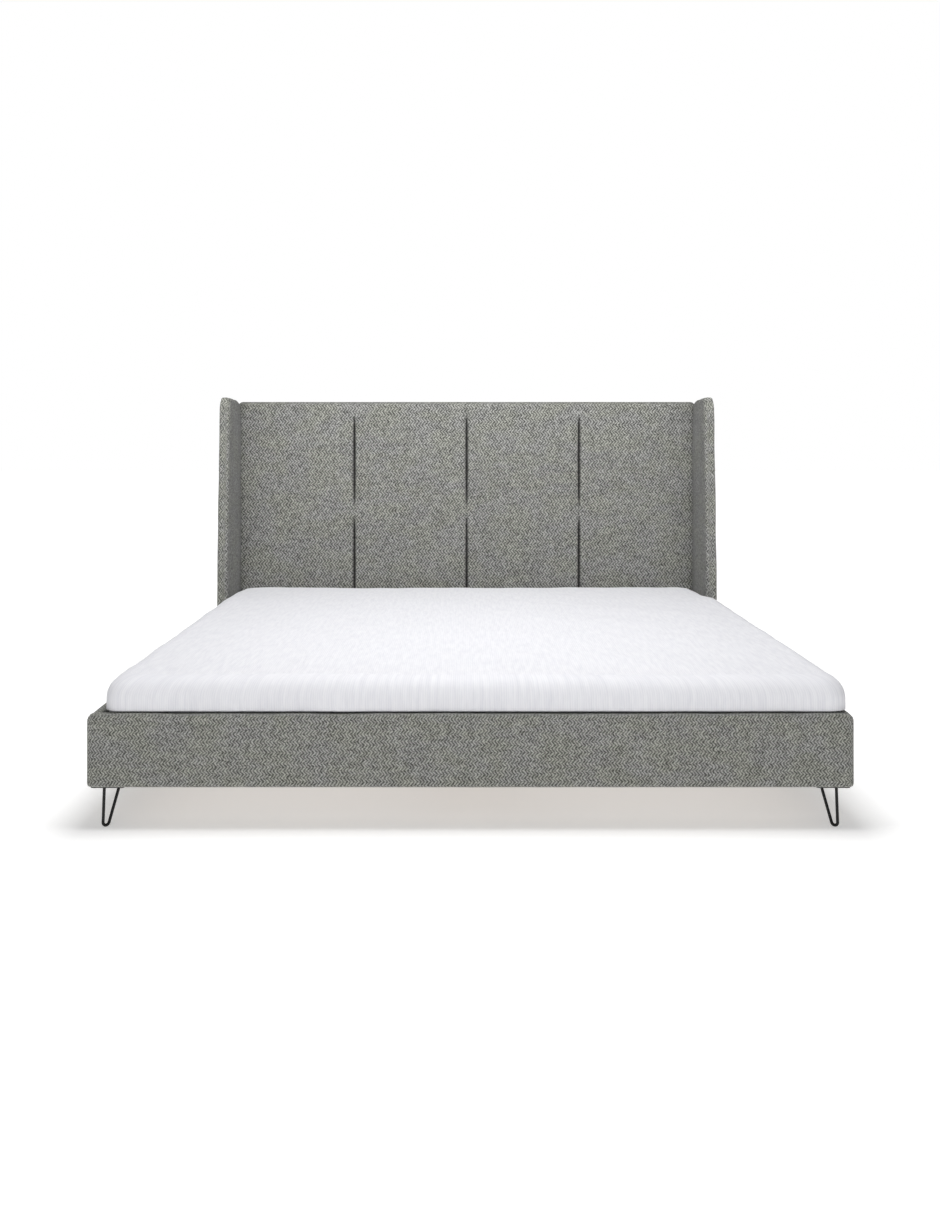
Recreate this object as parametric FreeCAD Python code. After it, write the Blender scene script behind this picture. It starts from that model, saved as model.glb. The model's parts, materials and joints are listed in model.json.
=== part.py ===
import FreeCAD, Part
import math
import os

# An upholstered wing bed on four hairpin legs, in millimetres.
# X runs across the bed, Y from the foot (-) to the headboard (+), Z up from the floor.
# The origin lies on the floor under the middle of the bed.
V = FreeCAD.Vector

# ---- the mattress that everything is built around ----
MATTRESS_W = 1930.0
MATTRESS_L = 2030.0
MATTRESS_H = 203.0
MATTRESS_SIDE_GAP = 5.0      # between the mattress and each rail or wing
MATTRESS_END_GAP = 3.0       # between the mattress and the footboard or headboard
MATTRESS_EDGE_R = 40.0       # rounding of its upper edges
MATTRESS_FOOT_R = 15.0       # rounding of its lower edges
MATTRESS_CORNER_R = 60.0     # rounding of its corners, seen from above

# ---- heights ----
FRAME_CLEARANCE = 114.0      # floor to the underside of the upholstered rails
RAIL_H = 191.0
HEADBOARD_TOP = 1172.0       # above the floor
WING_RISE = 20.0             # the wings rise by this much towards their front corners

# ---- upholstery and boards ----
FABRIC = 2.0
RAIL_FOAM = 8.0
RAIL_TOP_FOAM = 6.0
RAIL_BOARD = 24.0
FOOTBOARD_FOAM = 10.0
RAIL_EDGE_R = 10.0           # the outer upper edge of a rail
RAIL_INNER_R = 8.0
RAIL_LOWER_R = 5.0
FOOTBOARD_CORNER_R = 22.0    # the footboard's front corners, seen from above

# ---- headboard ----
HEADBOARD_FOAM = 30.0
FACE_PANEL = 9.0
HEADBOARD_FRAME = 47.0
STILE_W = 60.0
TOP_RAIL_H = 70.0
BOTTOM_RAIL_H = 100.0
STUD_W = 60.0
HEADBOARD_SIDE_R = 22.0      # the padded front's rounding into the wings
HEADBOARD_TOP_R = 16.0
PLEAT_SPACING = 477.0        # between the three lines of pulled-in slits
PLEAT_LENGTH = 392.0
PLEAT_GAP = 38.0             # between the upper slit and the lower one
PLEAT_FROM_TOP = 56.0
PLEAT_WIDTH = 7.0
PLEAT_DEPTH = 22.0
PULL_SLOT_W = 5.0            # the slot in the panel that a pleat's tail goes through
PULL_SLOT_MARGIN = 12.0

# ---- wings ----
WING_BOARD = 24.0
WING_INNER_FOAM = 8.0
WING_OUTER_FOAM = 10.0
WING_REACH = 230.0           # how far a wing reaches in front of the headboard at its foot
WING_RAKE = 88.0             # how far its front edge leans back by the top
WING_CORNER_R = 30.0
WING_EDGE_R = 11.0
WING_BEND_R = 60.0           # where its top edge levels out, and where its front edge starts to lean
WING_BOLT_SPOTS = (0.13, 0.5, 0.87)   # shares of the headboard's height

# ---- slats, ledgers, centre beam ----
SLAT_T = 18.0
SLAT_W = 90.0
SLAT_COUNT = 12
SLAT_END_GAP = 3.0
LEDGER_W = 25.0
LEDGER_H = 30.0
BEAM_W = 45.0
BEAM_BOLT_BITE = 24.0        # how far a centre leg's bolt goes into the leg
BEAM_BOLT_SINK_D = 15.0
HANGER_T = 3.0
HANGER_CHEEK = 40.0
HANGER_FIT = 0.5
CENTRE_LEG = 50.0
CENTRE_LEG_GAPS = (4, 8)     # which gaps between slats the centre legs stand under, from the foot
LEVELLER_D = 40.0
LEVELLER_T = 12.0
LEVELLER_STEM_D = 10.0
LEVELLER_STEM_L = 35.0
LEVELLER_EDGE_R = 3.0
LEVELLER_BORE_SPARE = 5.0    # bore left above the stem
LEVELLER_FIT = 0.06          # radial clearance of the threaded stem
LEVELLER_STOP_GAP = 0.3

# ---- corner blocks, plates, legs ----
BLOCK = 70.0
JOINT_PLATE_T = 4.0
JOINT_PLATE_H = 28.0
JOINT_PLATE_L = 220.0
LEDGER_LIFT = 3.0            # gap between a joint plate and the ledger over it
JOINT_BOLT_SPOTS = (-0.4, -0.15, 0.15, 0.4)   # along the plate, as shares of its length
LEG_PLATE = 90.0
LEG_PLATE_T = 3.0
LEG_PLATE_R = 8.0
LEG_HOLE_SPACING = 70.0
LEG_INSET = 10.0             # from the rails' outer faces to the leg plate
REAR_LEG_INSET = 32.0        # from the headboard's back to the rear leg plates
ROD_D = 8.0
ROD_BEND_R = 9.0             # centre line of the bend at the floor
ROD_SPREAD = 48.0            # between the rods' tops
ROD_INSET = 30.0             # from the plate's outer edges to the outer rod, along X and along Y
ROD_LEAN = 4.0               # how far the outer rod leans out at the floor

# ---- fasteners ----
BOLT_D = 8.0
BOLT_HEAD_D = 13.0
BOLT_HEAD_H = 6.0
BOLT_HOLE_D = 9.0
NUT_BARREL_D = 10.0
NUT_BARREL_L = 12.0
NUT_FLANGE_D = 22.0
NUT_FLANGE_T = 1.5
THREAD_FIT = 0.05
SCREW_D = 5.0
SCREW_HEAD_D = 10.0
SCREW_HEAD_H = 3.0
SCREW_FIT = 0.05
SCREW_CLEAR_D = 5.6
SLAT_SCREW_L = 40.0
LEDGER_SCREW_L = 45.0
HANGER_SCREW_BITE = 20.0     # how far a hanger's screw goes into the timber
LEG_SCREW_L = 20.0
LEG_SCREW_HEAD_H = 2.6

# ---- what follows from them ----
PAST = 1.0                   # how far a cut runs past the face that it opens
RAIL_TOP = FRAME_CLEARANCE + RAIL_H
LEDGER_TOP = FRAME_CLEARANCE + FABRIC + JOINT_PLATE_H + LEDGER_LIFT + LEDGER_H
SLAT_TOP = LEDGER_TOP + SLAT_T
MATTRESS_TOP = SLAT_TOP + MATTRESS_H
BEAM_H = LEDGER_TOP - FRAME_CLEARANCE - HANGER_T
INNER_HALF = MATTRESS_W / 2 + MATTRESS_SIDE_GAP
RAIL_T = FABRIC + RAIL_FOAM + RAIL_BOARD + FABRIC
OUTER_HALF = INNER_HALF + RAIL_T
FOOTBOARD_T = FABRIC + FOOTBOARD_FOAM + RAIL_BOARD + FABRIC
HEADBOARD_T = FABRIC + HEADBOARD_FOAM + FACE_PANEL + HEADBOARD_FRAME + FABRIC
WING_T = FABRIC + WING_INNER_FOAM + WING_BOARD + WING_OUTER_FOAM + FABRIC
WELL_L = MATTRESS_L + 2 * MATTRESS_END_GAP
FRONT = -(FOOTBOARD_T + WELL_L + HEADBOARD_T) / 2
BACK = -FRONT
WELL_FRONT = FRONT + FOOTBOARD_T
WELL_BACK = BACK - HEADBOARD_T
WING_FRONT = WELL_BACK - WING_REACH
BOARD_IN = INNER_HALF + FABRIC                    # a side rail board's inner face
BOARD_OUT = BOARD_IN + RAIL_BOARD
WING_BOARD_IN = INNER_HALF + FABRIC + WING_INNER_FOAM
WING_BOARD_OUT = WING_BOARD_IN + WING_BOARD
PANEL_FRONT = WELL_BACK + FABRIC + HEADBOARD_FOAM
FRAME_FRONT = PANEL_FRONT + FACE_PANEL
FRAME_BACK = BACK - FABRIC
BLOCK_TOP = LEDGER_TOP
PLATE_BOTTOM = FRAME_CLEARANCE - LEG_PLATE_T


# ---- shapes ----
def box(x0, x1, y0, y1, z0, z1):
    return Part.makeBox(x1 - x0, y1 - y0, z1 - z0, V(x0, y0, z0))


def rod(start, end, diameter):
    """A cylinder from one point to another."""
    along = end - start
    return Part.makeCylinder(diameter / 2, along.Length, start, along)


def joined(shapes):
    result = shapes[0]
    for shape in shapes[1:]:
        result = result.fuse(shape)
    return result.removeSplitter()


def across(shape):
    """The same piece on the other side of the bed."""
    return shape.mirror(V(0, 0, 0), V(1, 0, 0))


def inset_outline(points, insets):
    """Moves each side of a closed outline inwards; side i runs from point i to point i + 1."""
    area = sum(a[0] * b[1] - b[0] * a[1] for a, b in zip(points, points[1:] + points[:1]))
    turn = 1 if area > 0 else -1
    lines = []
    for i, inset in enumerate(insets):
        (ax, ay), (bx, by) = points[i], points[(i + 1) % len(points)]
        length = math.hypot(bx - ax, by - ay)
        dx, dy = (bx - ax) / length, (by - ay) / length
        lines.append((ax - dy * inset * turn, ay + dx * inset * turn, dx, dy))
    moved = []
    for i in range(len(points)):
        px, py, pdx, pdy = lines[i - 1]
        qx, qy, qdx, qdy = lines[i]
        cross = pdx * qdy - pdy * qdx
        t = ((qx - px) * qdy - (qy - py) * qdx) / cross
        moved.append((px + pdx * t, py + pdy * t))
    return moved


def outline_face(points, radii, place):
    """A flat face round the points, with each corner rounded; place turns a 2-D point into a 3-D one."""
    edges = []
    corners = []
    for i, radius in enumerate(radii):
        before, at, after = (V(*points[i - 1]), V(*points[i]), V(*points[(i + 1) % len(points)]))
        if radius <= 0:
            corners.append((at, at, at))
            continue
        back, ahead = (before - at).normalize(), (after - at).normalize()
        half = back.getAngle(ahead) / 2
        trim = radius / math.tan(half)
        middle = (back + ahead).normalize()
        centre = at + middle * (radius / math.sin(half))
        corners.append((at + back * trim, centre - middle * radius, at + ahead * trim))
    for i, (start, mid, end) in enumerate(corners):
        if start != end:
            edges.append(Part.Arc(place(start), place(mid), place(end)).toShape())
        following = corners[(i + 1) % len(corners)][0]
        if (following - end).Length > 1e-6:
            edges.append(Part.LineSegment(place(end), place(following)).toShape())
    return Part.Face(Part.Wire(edges))


def smaller(radii, by):
    return [max(0.0, r - by) for r in radii]


def edges_where(shape, test):
    """The shape's edges whose bounding boxes pass a test."""
    return [e for e in shape.Edges if test(e.BoundBox)]


def bolt(head, direction, grip):
    """A bolt and its tee nut: head is the point under the bolt's head, grip the depth to the nut's flange."""
    d = V(*direction)
    flange_end = head + d * grip
    cap = rod(head - d * BOLT_HEAD_H, head, BOLT_HEAD_D)
    socket = rod(head - d * BOLT_HEAD_H, head - d * (BOLT_HEAD_H / 2), BOLT_HEAD_D / 2)
    screw = joined([cap.cut(socket), rod(head, flange_end, BOLT_D)])
    flange = rod(flange_end - d * NUT_FLANGE_T, flange_end, NUT_FLANGE_D)
    barrel = rod(flange_end - d * NUT_BARREL_L, flange_end, NUT_BARREL_D)
    nut = joined([flange, barrel]).cut(rod(head, flange_end + d * PAST, BOLT_D + 2 * THREAD_FIT))
    hole = rod(head, flange_end, BOLT_HOLE_D)
    seat = joined([flange, barrel])
    return [screw, nut], hole.fuse(seat)


def wood_screw(head, direction, length, clear):
    """A countersunk screw: head is the middle of its flat top, clear how deep its clearance hole goes."""
    d = V(*direction)
    cone = Part.makeCone(SCREW_HEAD_D / 2, SCREW_D / 2, SCREW_HEAD_H, head, d)
    screw = joined([cone, rod(head + d * SCREW_HEAD_H, head + d * length, SCREW_D)])
    sink = Part.makeCone(SCREW_HEAD_D / 2 + SCREW_FIT, SCREW_D / 2 + SCREW_FIT, SCREW_HEAD_H, head, d)
    hole = rod(head, head + d * length, SCREW_D + 2 * SCREW_FIT)
    wide = rod(head, head + d * clear, SCREW_CLEAR_D)
    return screw, joined([sink, hole, wide])


# ---- rails ----
def side_rail():
    """Board, foam and cover of the right-hand side rail."""
    outline = [(INNER_HALF, FRAME_CLEARANCE), (OUTER_HALF, FRAME_CLEARANCE),
               (OUTER_HALF, RAIL_TOP), (INNER_HALF, RAIL_TOP)]
    radii = [RAIL_LOWER_R, RAIL_LOWER_R, RAIL_EDGE_R, RAIL_INNER_R]

    def along_y(points, rounds):
        face = outline_face(points, rounds, lambda p: V(p.x, WELL_FRONT, p.y))
        return face.extrude(V(0, WING_FRONT - WELL_FRONT, 0))

    outer = along_y(outline, radii)
    cavity = along_y(inset_outline(outline, [FABRIC] * 4), smaller(radii, FABRIC))
    board_box = box(BOARD_IN, BOARD_OUT, WELL_FRONT, WING_FRONT,
                    FRAME_CLEARANCE + FABRIC, RAIL_TOP - FABRIC - RAIL_TOP_FOAM)
    return {"board": cavity.common(board_box), "foam": cavity.cut(board_box), "cover": outer.cut(cavity)}


def footboard():
    """Board, foam and cover of the footboard, which covers the ends of both side rails."""

    def block(inset):
        corner = FOOTBOARD_CORNER_R - inset
        outline = [(-OUTER_HALF + inset, FRONT + inset), (OUTER_HALF - inset, FRONT + inset),
                   (OUTER_HALF - inset, WELL_FRONT - inset), (-OUTER_HALF + inset, WELL_FRONT - inset)]
        bottom, top = FRAME_CLEARANCE + inset, RAIL_TOP - inset
        face = outline_face(outline, [corner, corner, 0, 0], lambda p: V(p.x, p.y, bottom))
        solid = face.extrude(V(0, 0, top - bottom))
        ahead = WELL_FRONT - inset - 1
        low = edges_where(solid, lambda b: b.ZMax < bottom + 1 and b.YMin < ahead)
        solid = solid.makeFillet(RAIL_LOWER_R - inset, low)
        high = edges_where(solid, lambda b: b.ZMin > top - 1 and b.YMin < ahead)
        return solid.makeFillet(RAIL_EDGE_R - inset, high)

    outer, cavity = block(0.0), block(FABRIC)
    half = OUTER_HALF - FABRIC - FOOTBOARD_FOAM
    board_box = box(-half, half, FRONT + FABRIC + FOOTBOARD_FOAM, WELL_FRONT - FABRIC,
                    FRAME_CLEARANCE + FABRIC, RAIL_TOP - FABRIC - RAIL_TOP_FOAM)
    return {"board": cavity.common(board_box), "foam": cavity.cut(board_box), "cover": outer.cut(cavity)}


# ---- headboard ----
def pleat_spots():
    """The middle of each pulled-in slit: three columns, two slits in each."""
    upper = HEADBOARD_TOP - PLEAT_FROM_TOP - PLEAT_LENGTH / 2
    lower = upper - PLEAT_LENGTH - PLEAT_GAP
    return [(x, z) for x in (-PLEAT_SPACING, 0.0, PLEAT_SPACING) for z in (upper, lower)]


def headboard():
    """Frame members, face panel, foam, cover and back lining."""

    def block(inset, back):
        solid = box(-INNER_HALF + inset, INNER_HALF - inset, WELL_BACK + inset, back,
                    FRAME_CLEARANCE + inset, HEADBOARD_TOP - inset)
        sides = edges_where(solid, lambda b: b.YMax < WELL_BACK + inset + 1 and b.XLength < 1)
        solid = solid.makeFillet(HEADBOARD_SIDE_R - inset, sides)
        top = edges_where(solid, lambda b: b.ZMin > HEADBOARD_TOP - inset - 1
                          and b.YMax < back - 1 and b.XLength > INNER_HALF)
        return solid.makeFillet(HEADBOARD_TOP_R - inset, top)

    outer, cavity = block(0.0, FRAME_BACK), block(FABRIC, FRAME_BACK)
    behind = box(-INNER_HALF, INNER_HALF, FRAME_BACK, BACK, FRAME_CLEARANCE, HEADBOARD_TOP)
    lining = block(0.0, BACK).common(behind)
    cover = outer.cut(cavity)
    foam = cavity.common(box(-INNER_HALF, INNER_HALF, WELL_BACK, PANEL_FRONT, 0, HEADBOARD_TOP))
    panel = cavity.common(box(-INNER_HALF, INNER_HALF, PANEL_FRONT, FRAME_FRONT, 0, HEADBOARD_TOP))
    for x, z in pleat_spots():
        low, high = z - PLEAT_LENGTH / 2, z + PLEAT_LENGTH / 2
        half = PLEAT_WIDTH / 2
        pocket = box(x - half - FABRIC, x + half + FABRIC, WELL_BACK + FABRIC / 2,
                     WELL_BACK + PLEAT_DEPTH + FABRIC, low - FABRIC, high + FABRIC)
        slit = box(x - half, x + half, WELL_BACK - PAST, WELL_BACK + PLEAT_DEPTH, low, high)
        cover = cover.fuse(pocket).cut(slit)
        foam = foam.cut(pocket)
        panel = panel.cut(box(x - PULL_SLOT_W / 2, x + PULL_SLOT_W / 2, PANEL_FRONT - PAST,
                              FRAME_FRONT + PAST, low + PULL_SLOT_MARGIN, high - PULL_SLOT_MARGIN))

    inner, low, high = INNER_HALF - FABRIC, FRAME_CLEARANCE + FABRIC, HEADBOARD_TOP - FABRIC
    stile = cavity.common(box(inner - STILE_W, inner, FRAME_FRONT, FRAME_BACK, low, high))
    rail_half = inner - STILE_W
    stud = box(PLEAT_SPACING / 2 - STUD_W / 2, PLEAT_SPACING / 2 + STUD_W / 2, FRAME_FRONT, FRAME_BACK,
               low + BOTTOM_RAIL_H, high - TOP_RAIL_H)
    return {
        "headboard_cover": cover,
        "headboard_foam": foam,
        "headboard_face_panel": panel,
        "headboard_stile_right": stile,
        "headboard_stile_left": across(stile),
        "headboard_top_rail": box(-rail_half, rail_half, FRAME_FRONT, FRAME_BACK, high - TOP_RAIL_H, high),
        "headboard_bottom_rail": box(-rail_half, rail_half, FRAME_FRONT, FRAME_BACK,
                                     low, low + BOTTOM_RAIL_H),
        "headboard_stud_right": stud,
        "headboard_stud_left": across(stud),
        "headboard_back_lining": lining,
    }


# ---- wings ----
def wing():
    """Board, foam and cover of the right-hand wing, which stands outside the headboard's end."""
    outline = [(BACK, FRAME_CLEARANCE), (BACK, HEADBOARD_TOP), (WELL_BACK, HEADBOARD_TOP),
               (WING_FRONT + WING_RAKE, HEADBOARD_TOP + WING_RISE), (WING_FRONT, RAIL_TOP),
               (WING_FRONT, FRAME_CLEARANCE)]
    radii = [0.0, 0.0, WING_BEND_R, WING_CORNER_R, WING_BEND_R, 0.0]

    def slab(inset, x0, x1, edge):
        points = inset_outline(outline, [inset] * len(outline))
        face = outline_face(points, smaller(radii, inset), lambda p: V(x0, p.x, p.y))
        solid = face.extrude(V(x1 - x0, 0, 0))
        rim = edges_where(solid, lambda b: b.XLength < 1e-6 and b.ZMax > FRAME_CLEARANCE + inset + 1
                          and b.YMin < BACK - inset - 1)
        return solid.makeFillet(edge, rim)

    outer = slab(0.0, INNER_HALF, INNER_HALF + WING_T, WING_EDGE_R)
    cavity = slab(FABRIC, INNER_HALF + FABRIC, INNER_HALF + WING_T - FABRIC, WING_EDGE_R - FABRIC)
    around = FABRIC + WING_INNER_FOAM
    points = inset_outline(outline, [FABRIC, around, around, around, around, FABRIC])
    face = outline_face(points, smaller(radii, around), lambda p: V(WING_BOARD_IN, p.x, p.y))
    board = face.extrude(V(WING_BOARD, 0, 0))
    return {"board": cavity.common(board), "foam": cavity.cut(board), "cover": outer.cut(cavity)}


# ---- base ----
def slat_middles():
    """The Y of each slat's middle."""
    pitch = (MATTRESS_L - SLAT_W) / (SLAT_COUNT - 1)
    first = WELL_FRONT + MATTRESS_END_GAP + SLAT_W / 2
    return [first + i * pitch for i in range(SLAT_COUNT)]


def centre_leg_spots():
    """The Y of each centre leg, clear of the screws that hold the slats to the beam."""
    middles = slat_middles()
    return [(middles[gap - 1] + middles[gap]) / 2 for gap in CENTRE_LEG_GAPS]


def base():
    """Ledgers, slats, centre beam and its hangers, centre legs and their levelling feet."""
    parts = {}
    ledger = box(INNER_HALF - LEDGER_W, INNER_HALF, WELL_FRONT + BLOCK, WELL_BACK - BLOCK,
                 LEDGER_TOP - LEDGER_H, LEDGER_TOP)
    parts["side_rail_ledger_right"] = ledger
    parts["side_rail_ledger_left"] = across(ledger)
    half = INNER_HALF - SLAT_END_GAP
    for number, y in enumerate(slat_middles(), 1):
        slat = box(-half, half, y - SLAT_W / 2, y + SLAT_W / 2, LEDGER_TOP, SLAT_TOP)
        parts[f"slat_{number:02d}"] = slat

    beam_bottom = LEDGER_TOP - BEAM_H
    parts["center_beam"] = box(-BEAM_W / 2, BEAM_W / 2, WELL_FRONT + HANGER_T + HANGER_FIT,
                               WELL_BACK - HANGER_T - HANGER_FIT, beam_bottom, LEDGER_TOP)
    cheek_in = BEAM_W / 2 + HANGER_FIT
    cheek_out = cheek_in + HANGER_T
    wide = cheek_out + HANGER_CHEEK / 2
    low = beam_bottom - HANGER_T
    for name, wall, way in (("front", WELL_FRONT, 1), ("rear", WELL_BACK, -1)):
        y0, y1 = sorted((wall, wall + way * (HANGER_T + HANGER_CHEEK)))
        p0, p1 = sorted((wall, wall + way * HANGER_T))
        back_plate = box(-wide, wide, p0, p1, low, LEDGER_TOP)
        floor = box(-cheek_out, cheek_out, y0, y1, low, beam_bottom)
        cheek = box(cheek_in, cheek_out, y0, y1, low, LEDGER_TOP)
        parts[f"beam_hanger_{name}"] = joined([back_plate, floor, cheek, across(cheek)])

    for name, y in zip(("front", "rear"), centre_leg_spots()):
        half = CENTRE_LEG / 2
        post_bottom = LEVELLER_T + LEVELLER_STOP_GAP
        bore_d = LEVELLER_STEM_D + 2 * LEVELLER_FIT
        post = box(-half, half, y - half, y + half, post_bottom, beam_bottom)
        bore_top = LEVELLER_T + LEVELLER_STEM_L + LEVELLER_BORE_SPARE
        bore = rod(V(0, y, post_bottom - PAST), V(0, y, bore_top), bore_d)
        parts[f"center_leg_{name}"] = post.cut(bore)
        disc = rod(V(0, y, 0), V(0, y, LEVELLER_T), LEVELLER_D)
        rim = edges_where(disc, lambda b: b.ZMin > LEVELLER_T - 1 and b.XLength > 1)
        disc = disc.makeFillet(LEVELLER_EDGE_R, rim)
        stem = rod(V(0, y, LEVELLER_T - PAST), V(0, y, LEVELLER_T + LEVELLER_STEM_L), LEVELLER_STEM_D)
        parts[f"leveller_foot_{name}"] = joined([disc, stem])
    return parts


def corner_blocks():
    low = FRAME_CLEARANCE
    front = box(INNER_HALF - BLOCK, INNER_HALF, WELL_FRONT, WELL_FRONT + BLOCK, low, BLOCK_TOP)
    rear = box(INNER_HALF - BLOCK, INNER_HALF, WELL_BACK - BLOCK, WELL_BACK, low, BLOCK_TOP)
    return {"corner_block_front_right": front, "corner_block_front_left": across(front),
            "corner_block_rear_right": rear, "corner_block_rear_left": across(rear)}


def joint_plate():
    """The flat steel bar that ties the side rail to the wing behind it, under the ledger."""
    low = FRAME_CLEARANCE + FABRIC
    middle = WING_FRONT
    return box(INNER_HALF - JOINT_PLATE_T, INNER_HALF, middle - JOINT_PLATE_L / 2,
               middle + JOINT_PLATE_L / 2, low, low + JOINT_PLATE_H)


# ---- hairpin legs ----
def tangent_point(px, pz, cx, cz, radius, side):
    """Where a line from a point touches a circle, on its left (-1) or right (+1) as seen from the point."""
    dx, dz = cx - px, cz - pz
    distance = math.hypot(dx, dz)
    lean = math.asin(radius / distance)
    reach = math.sqrt(distance ** 2 - radius ** 2)
    heading = math.atan2(dz, dx) + side * lean
    return px + reach * math.cos(heading), pz + reach * math.sin(heading)


def hairpin_leg(plate_x, plate_y, way_y):
    """One leg on the right-hand side. The plate's outer corner is (plate_x, plate_y); way_y points inwards."""
    top = PLATE_BOTTOM + LEG_PLATE_T / 2
    bend_z = ROD_D / 2 + ROD_BEND_R
    bend_u = ROD_BEND_R - ROD_LEAN
    outer_x, outer_y = plate_x - ROD_INSET, plate_y + way_y * ROD_INSET
    slope = math.sqrt(0.5)

    def place(u, z):
        return V(outer_x - u * slope, outer_y + way_y * u * slope, z)

    outer = tangent_point(0, top, bend_u, bend_z, ROD_BEND_R, -1)
    inner = tangent_point(ROD_SPREAD, top, bend_u, bend_z, ROD_BEND_R, 1)
    path = Part.Wire([
        Part.LineSegment(place(0, top), place(*outer)).toShape(),
        Part.Arc(place(*outer), place(bend_u, ROD_D / 2), place(*inner)).toShape(),
        Part.LineSegment(place(*inner), place(ROD_SPREAD, top)).toShape(),
    ])
    start = place(0, top)
    ring = Part.Wire([Part.makeCircle(ROD_D / 2, start, place(*outer) - start)])
    pin = path.makePipeShell([ring], True, False)
    x0, x1 = plate_x - LEG_PLATE, plate_x
    y0, y1 = sorted((plate_y, plate_y + way_y * LEG_PLATE))
    plate = box(x0, x1, y0, y1, PLATE_BOTTOM, FRAME_CLEARANCE)
    plate = plate.makeFillet(LEG_PLATE_R, edges_where(plate, lambda b: b.ZLength > 1))
    above = box(x0, x1, y0, y1, FRAME_CLEARANCE, FRAME_CLEARANCE + ROD_D)
    leg = joined([pin.cut(above), plate])
    middle = V(plate_x - LEG_PLATE / 2, plate_y + way_y * LEG_PLATE / 2, PLATE_BOTTOM)
    half = LEG_HOLE_SPACING / 2
    return leg, [middle + V(sx * half, sy * half, 0) for sx in (-1, 1) for sy in (-1, 1)]


def leg_screw(at):
    """A pan-head screw driven up through a leg plate; at is the middle of the hole in the plate's underside."""
    tip = at + V(0, 0, LEG_SCREW_L)
    pan = rod(at - V(0, 0, LEG_SCREW_HEAD_H), at, SCREW_HEAD_D)
    rim = edges_where(pan, lambda b: b.ZMax < at.z - LEG_SCREW_HEAD_H / 2 and b.XLength > 1)
    pan = pan.makeFillet(LEG_SCREW_HEAD_H / 2, rim)
    screw = joined([pan, rod(at, tip, SCREW_D)])
    return screw, rod(at - V(0, 0, PAST), tip, SCREW_D + 2 * SCREW_FIT)


# ---- mattress ----
def mattress():
    """The mattress, a rounded block that drops into the well on to the slats."""
    half = MATTRESS_W / 2
    front, back = WELL_FRONT + MATTRESS_END_GAP, WELL_BACK - MATTRESS_END_GAP
    block = box(-half, half, front, back, SLAT_TOP, MATTRESS_TOP)
    block = block.makeFillet(MATTRESS_CORNER_R, edges_where(block, lambda b: b.ZLength > 1))
    block = block.makeFillet(MATTRESS_EDGE_R, edges_where(block, lambda b: b.ZMin > MATTRESS_TOP - 1))
    return block.makeFillet(MATTRESS_FOOT_R, edges_where(block, lambda b: b.ZMax < SLAT_TOP + 1))


# ---- assembly ----
def build():
    parts = {}
    for side, turned in (("right", lambda s: s), ("left", across)):
        for layer, shape in side_rail().items():
            parts[f"side_rail_{side}_{layer}"] = turned(shape)
        for layer, shape in wing().items():
            parts[f"wing_{side}_{layer}"] = turned(shape)
        parts[f"joint_plate_{side}"] = turned(joint_plate())
    for layer, shape in footboard().items():
        parts[f"footboard_{layer}"] = shape
    parts.update(headboard())
    parts.update(base())
    parts.update(corner_blocks())
    parts["mattress"] = mattress()
    fasten(parts)
    return parts


def fasten(parts):
    """Makes every bolt and screw, and cuts its hole in each piece that it goes through."""
    groups = {"connector_bolts": [], "wood_screws": [], "leg_screws": []}
    holes = []

    def add_bolt(head, direction, grip):
        pieces, hole = bolt(head, direction, grip)
        groups["connector_bolts"].extend(pieces)
        holes.append(hole)

    def add_screw(head, direction, length, clear):
        screw, hole = wood_screw(head, direction, length, clear)
        groups["wood_screws"].append(screw)
        holes.append(hole)

    for side in (-1, 1):
        bolt_wing(side, add_bolt)
        bolt_corners(side, add_bolt)
        screw_ledger(side, add_screw)
    for y in centre_leg_spots():
        sunk = LEDGER_TOP - BOLT_HEAD_H
        add_bolt(V(0, y, sunk), (0, 0, -1), BEAM_H - BOLT_HEAD_H + BEAM_BOLT_BITE)
        holes.append(rod(V(0, y, sunk), V(0, y, LEDGER_TOP), BEAM_BOLT_SINK_D))
    screw_slats(add_screw)
    screw_hangers(add_screw)
    stand_on_legs(parts, groups["leg_screws"], holes)

    for name, shape in parts.items():
        near = [h for h in holes if h.BoundBox.intersect(shape.BoundBox)]
        if near:
            parts[name] = shape.cut(near)
    for name, pieces in groups.items():
        parts[name] = Part.makeCompound(pieces)


def bolt_wing(side, add_bolt):
    """Bolts through the headboard's stile into the wing's board."""
    stile_in = INNER_HALF - FABRIC - STILE_W
    for share in WING_BOLT_SPOTS:
        z = FRAME_CLEARANCE + share * (HEADBOARD_TOP - FRAME_CLEARANCE)
        head = V(side * stile_in, (FRAME_FRONT + FRAME_BACK) / 2, z)
        add_bolt(head, (side, 0, 0), WING_BOARD_OUT - stile_in)


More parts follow.
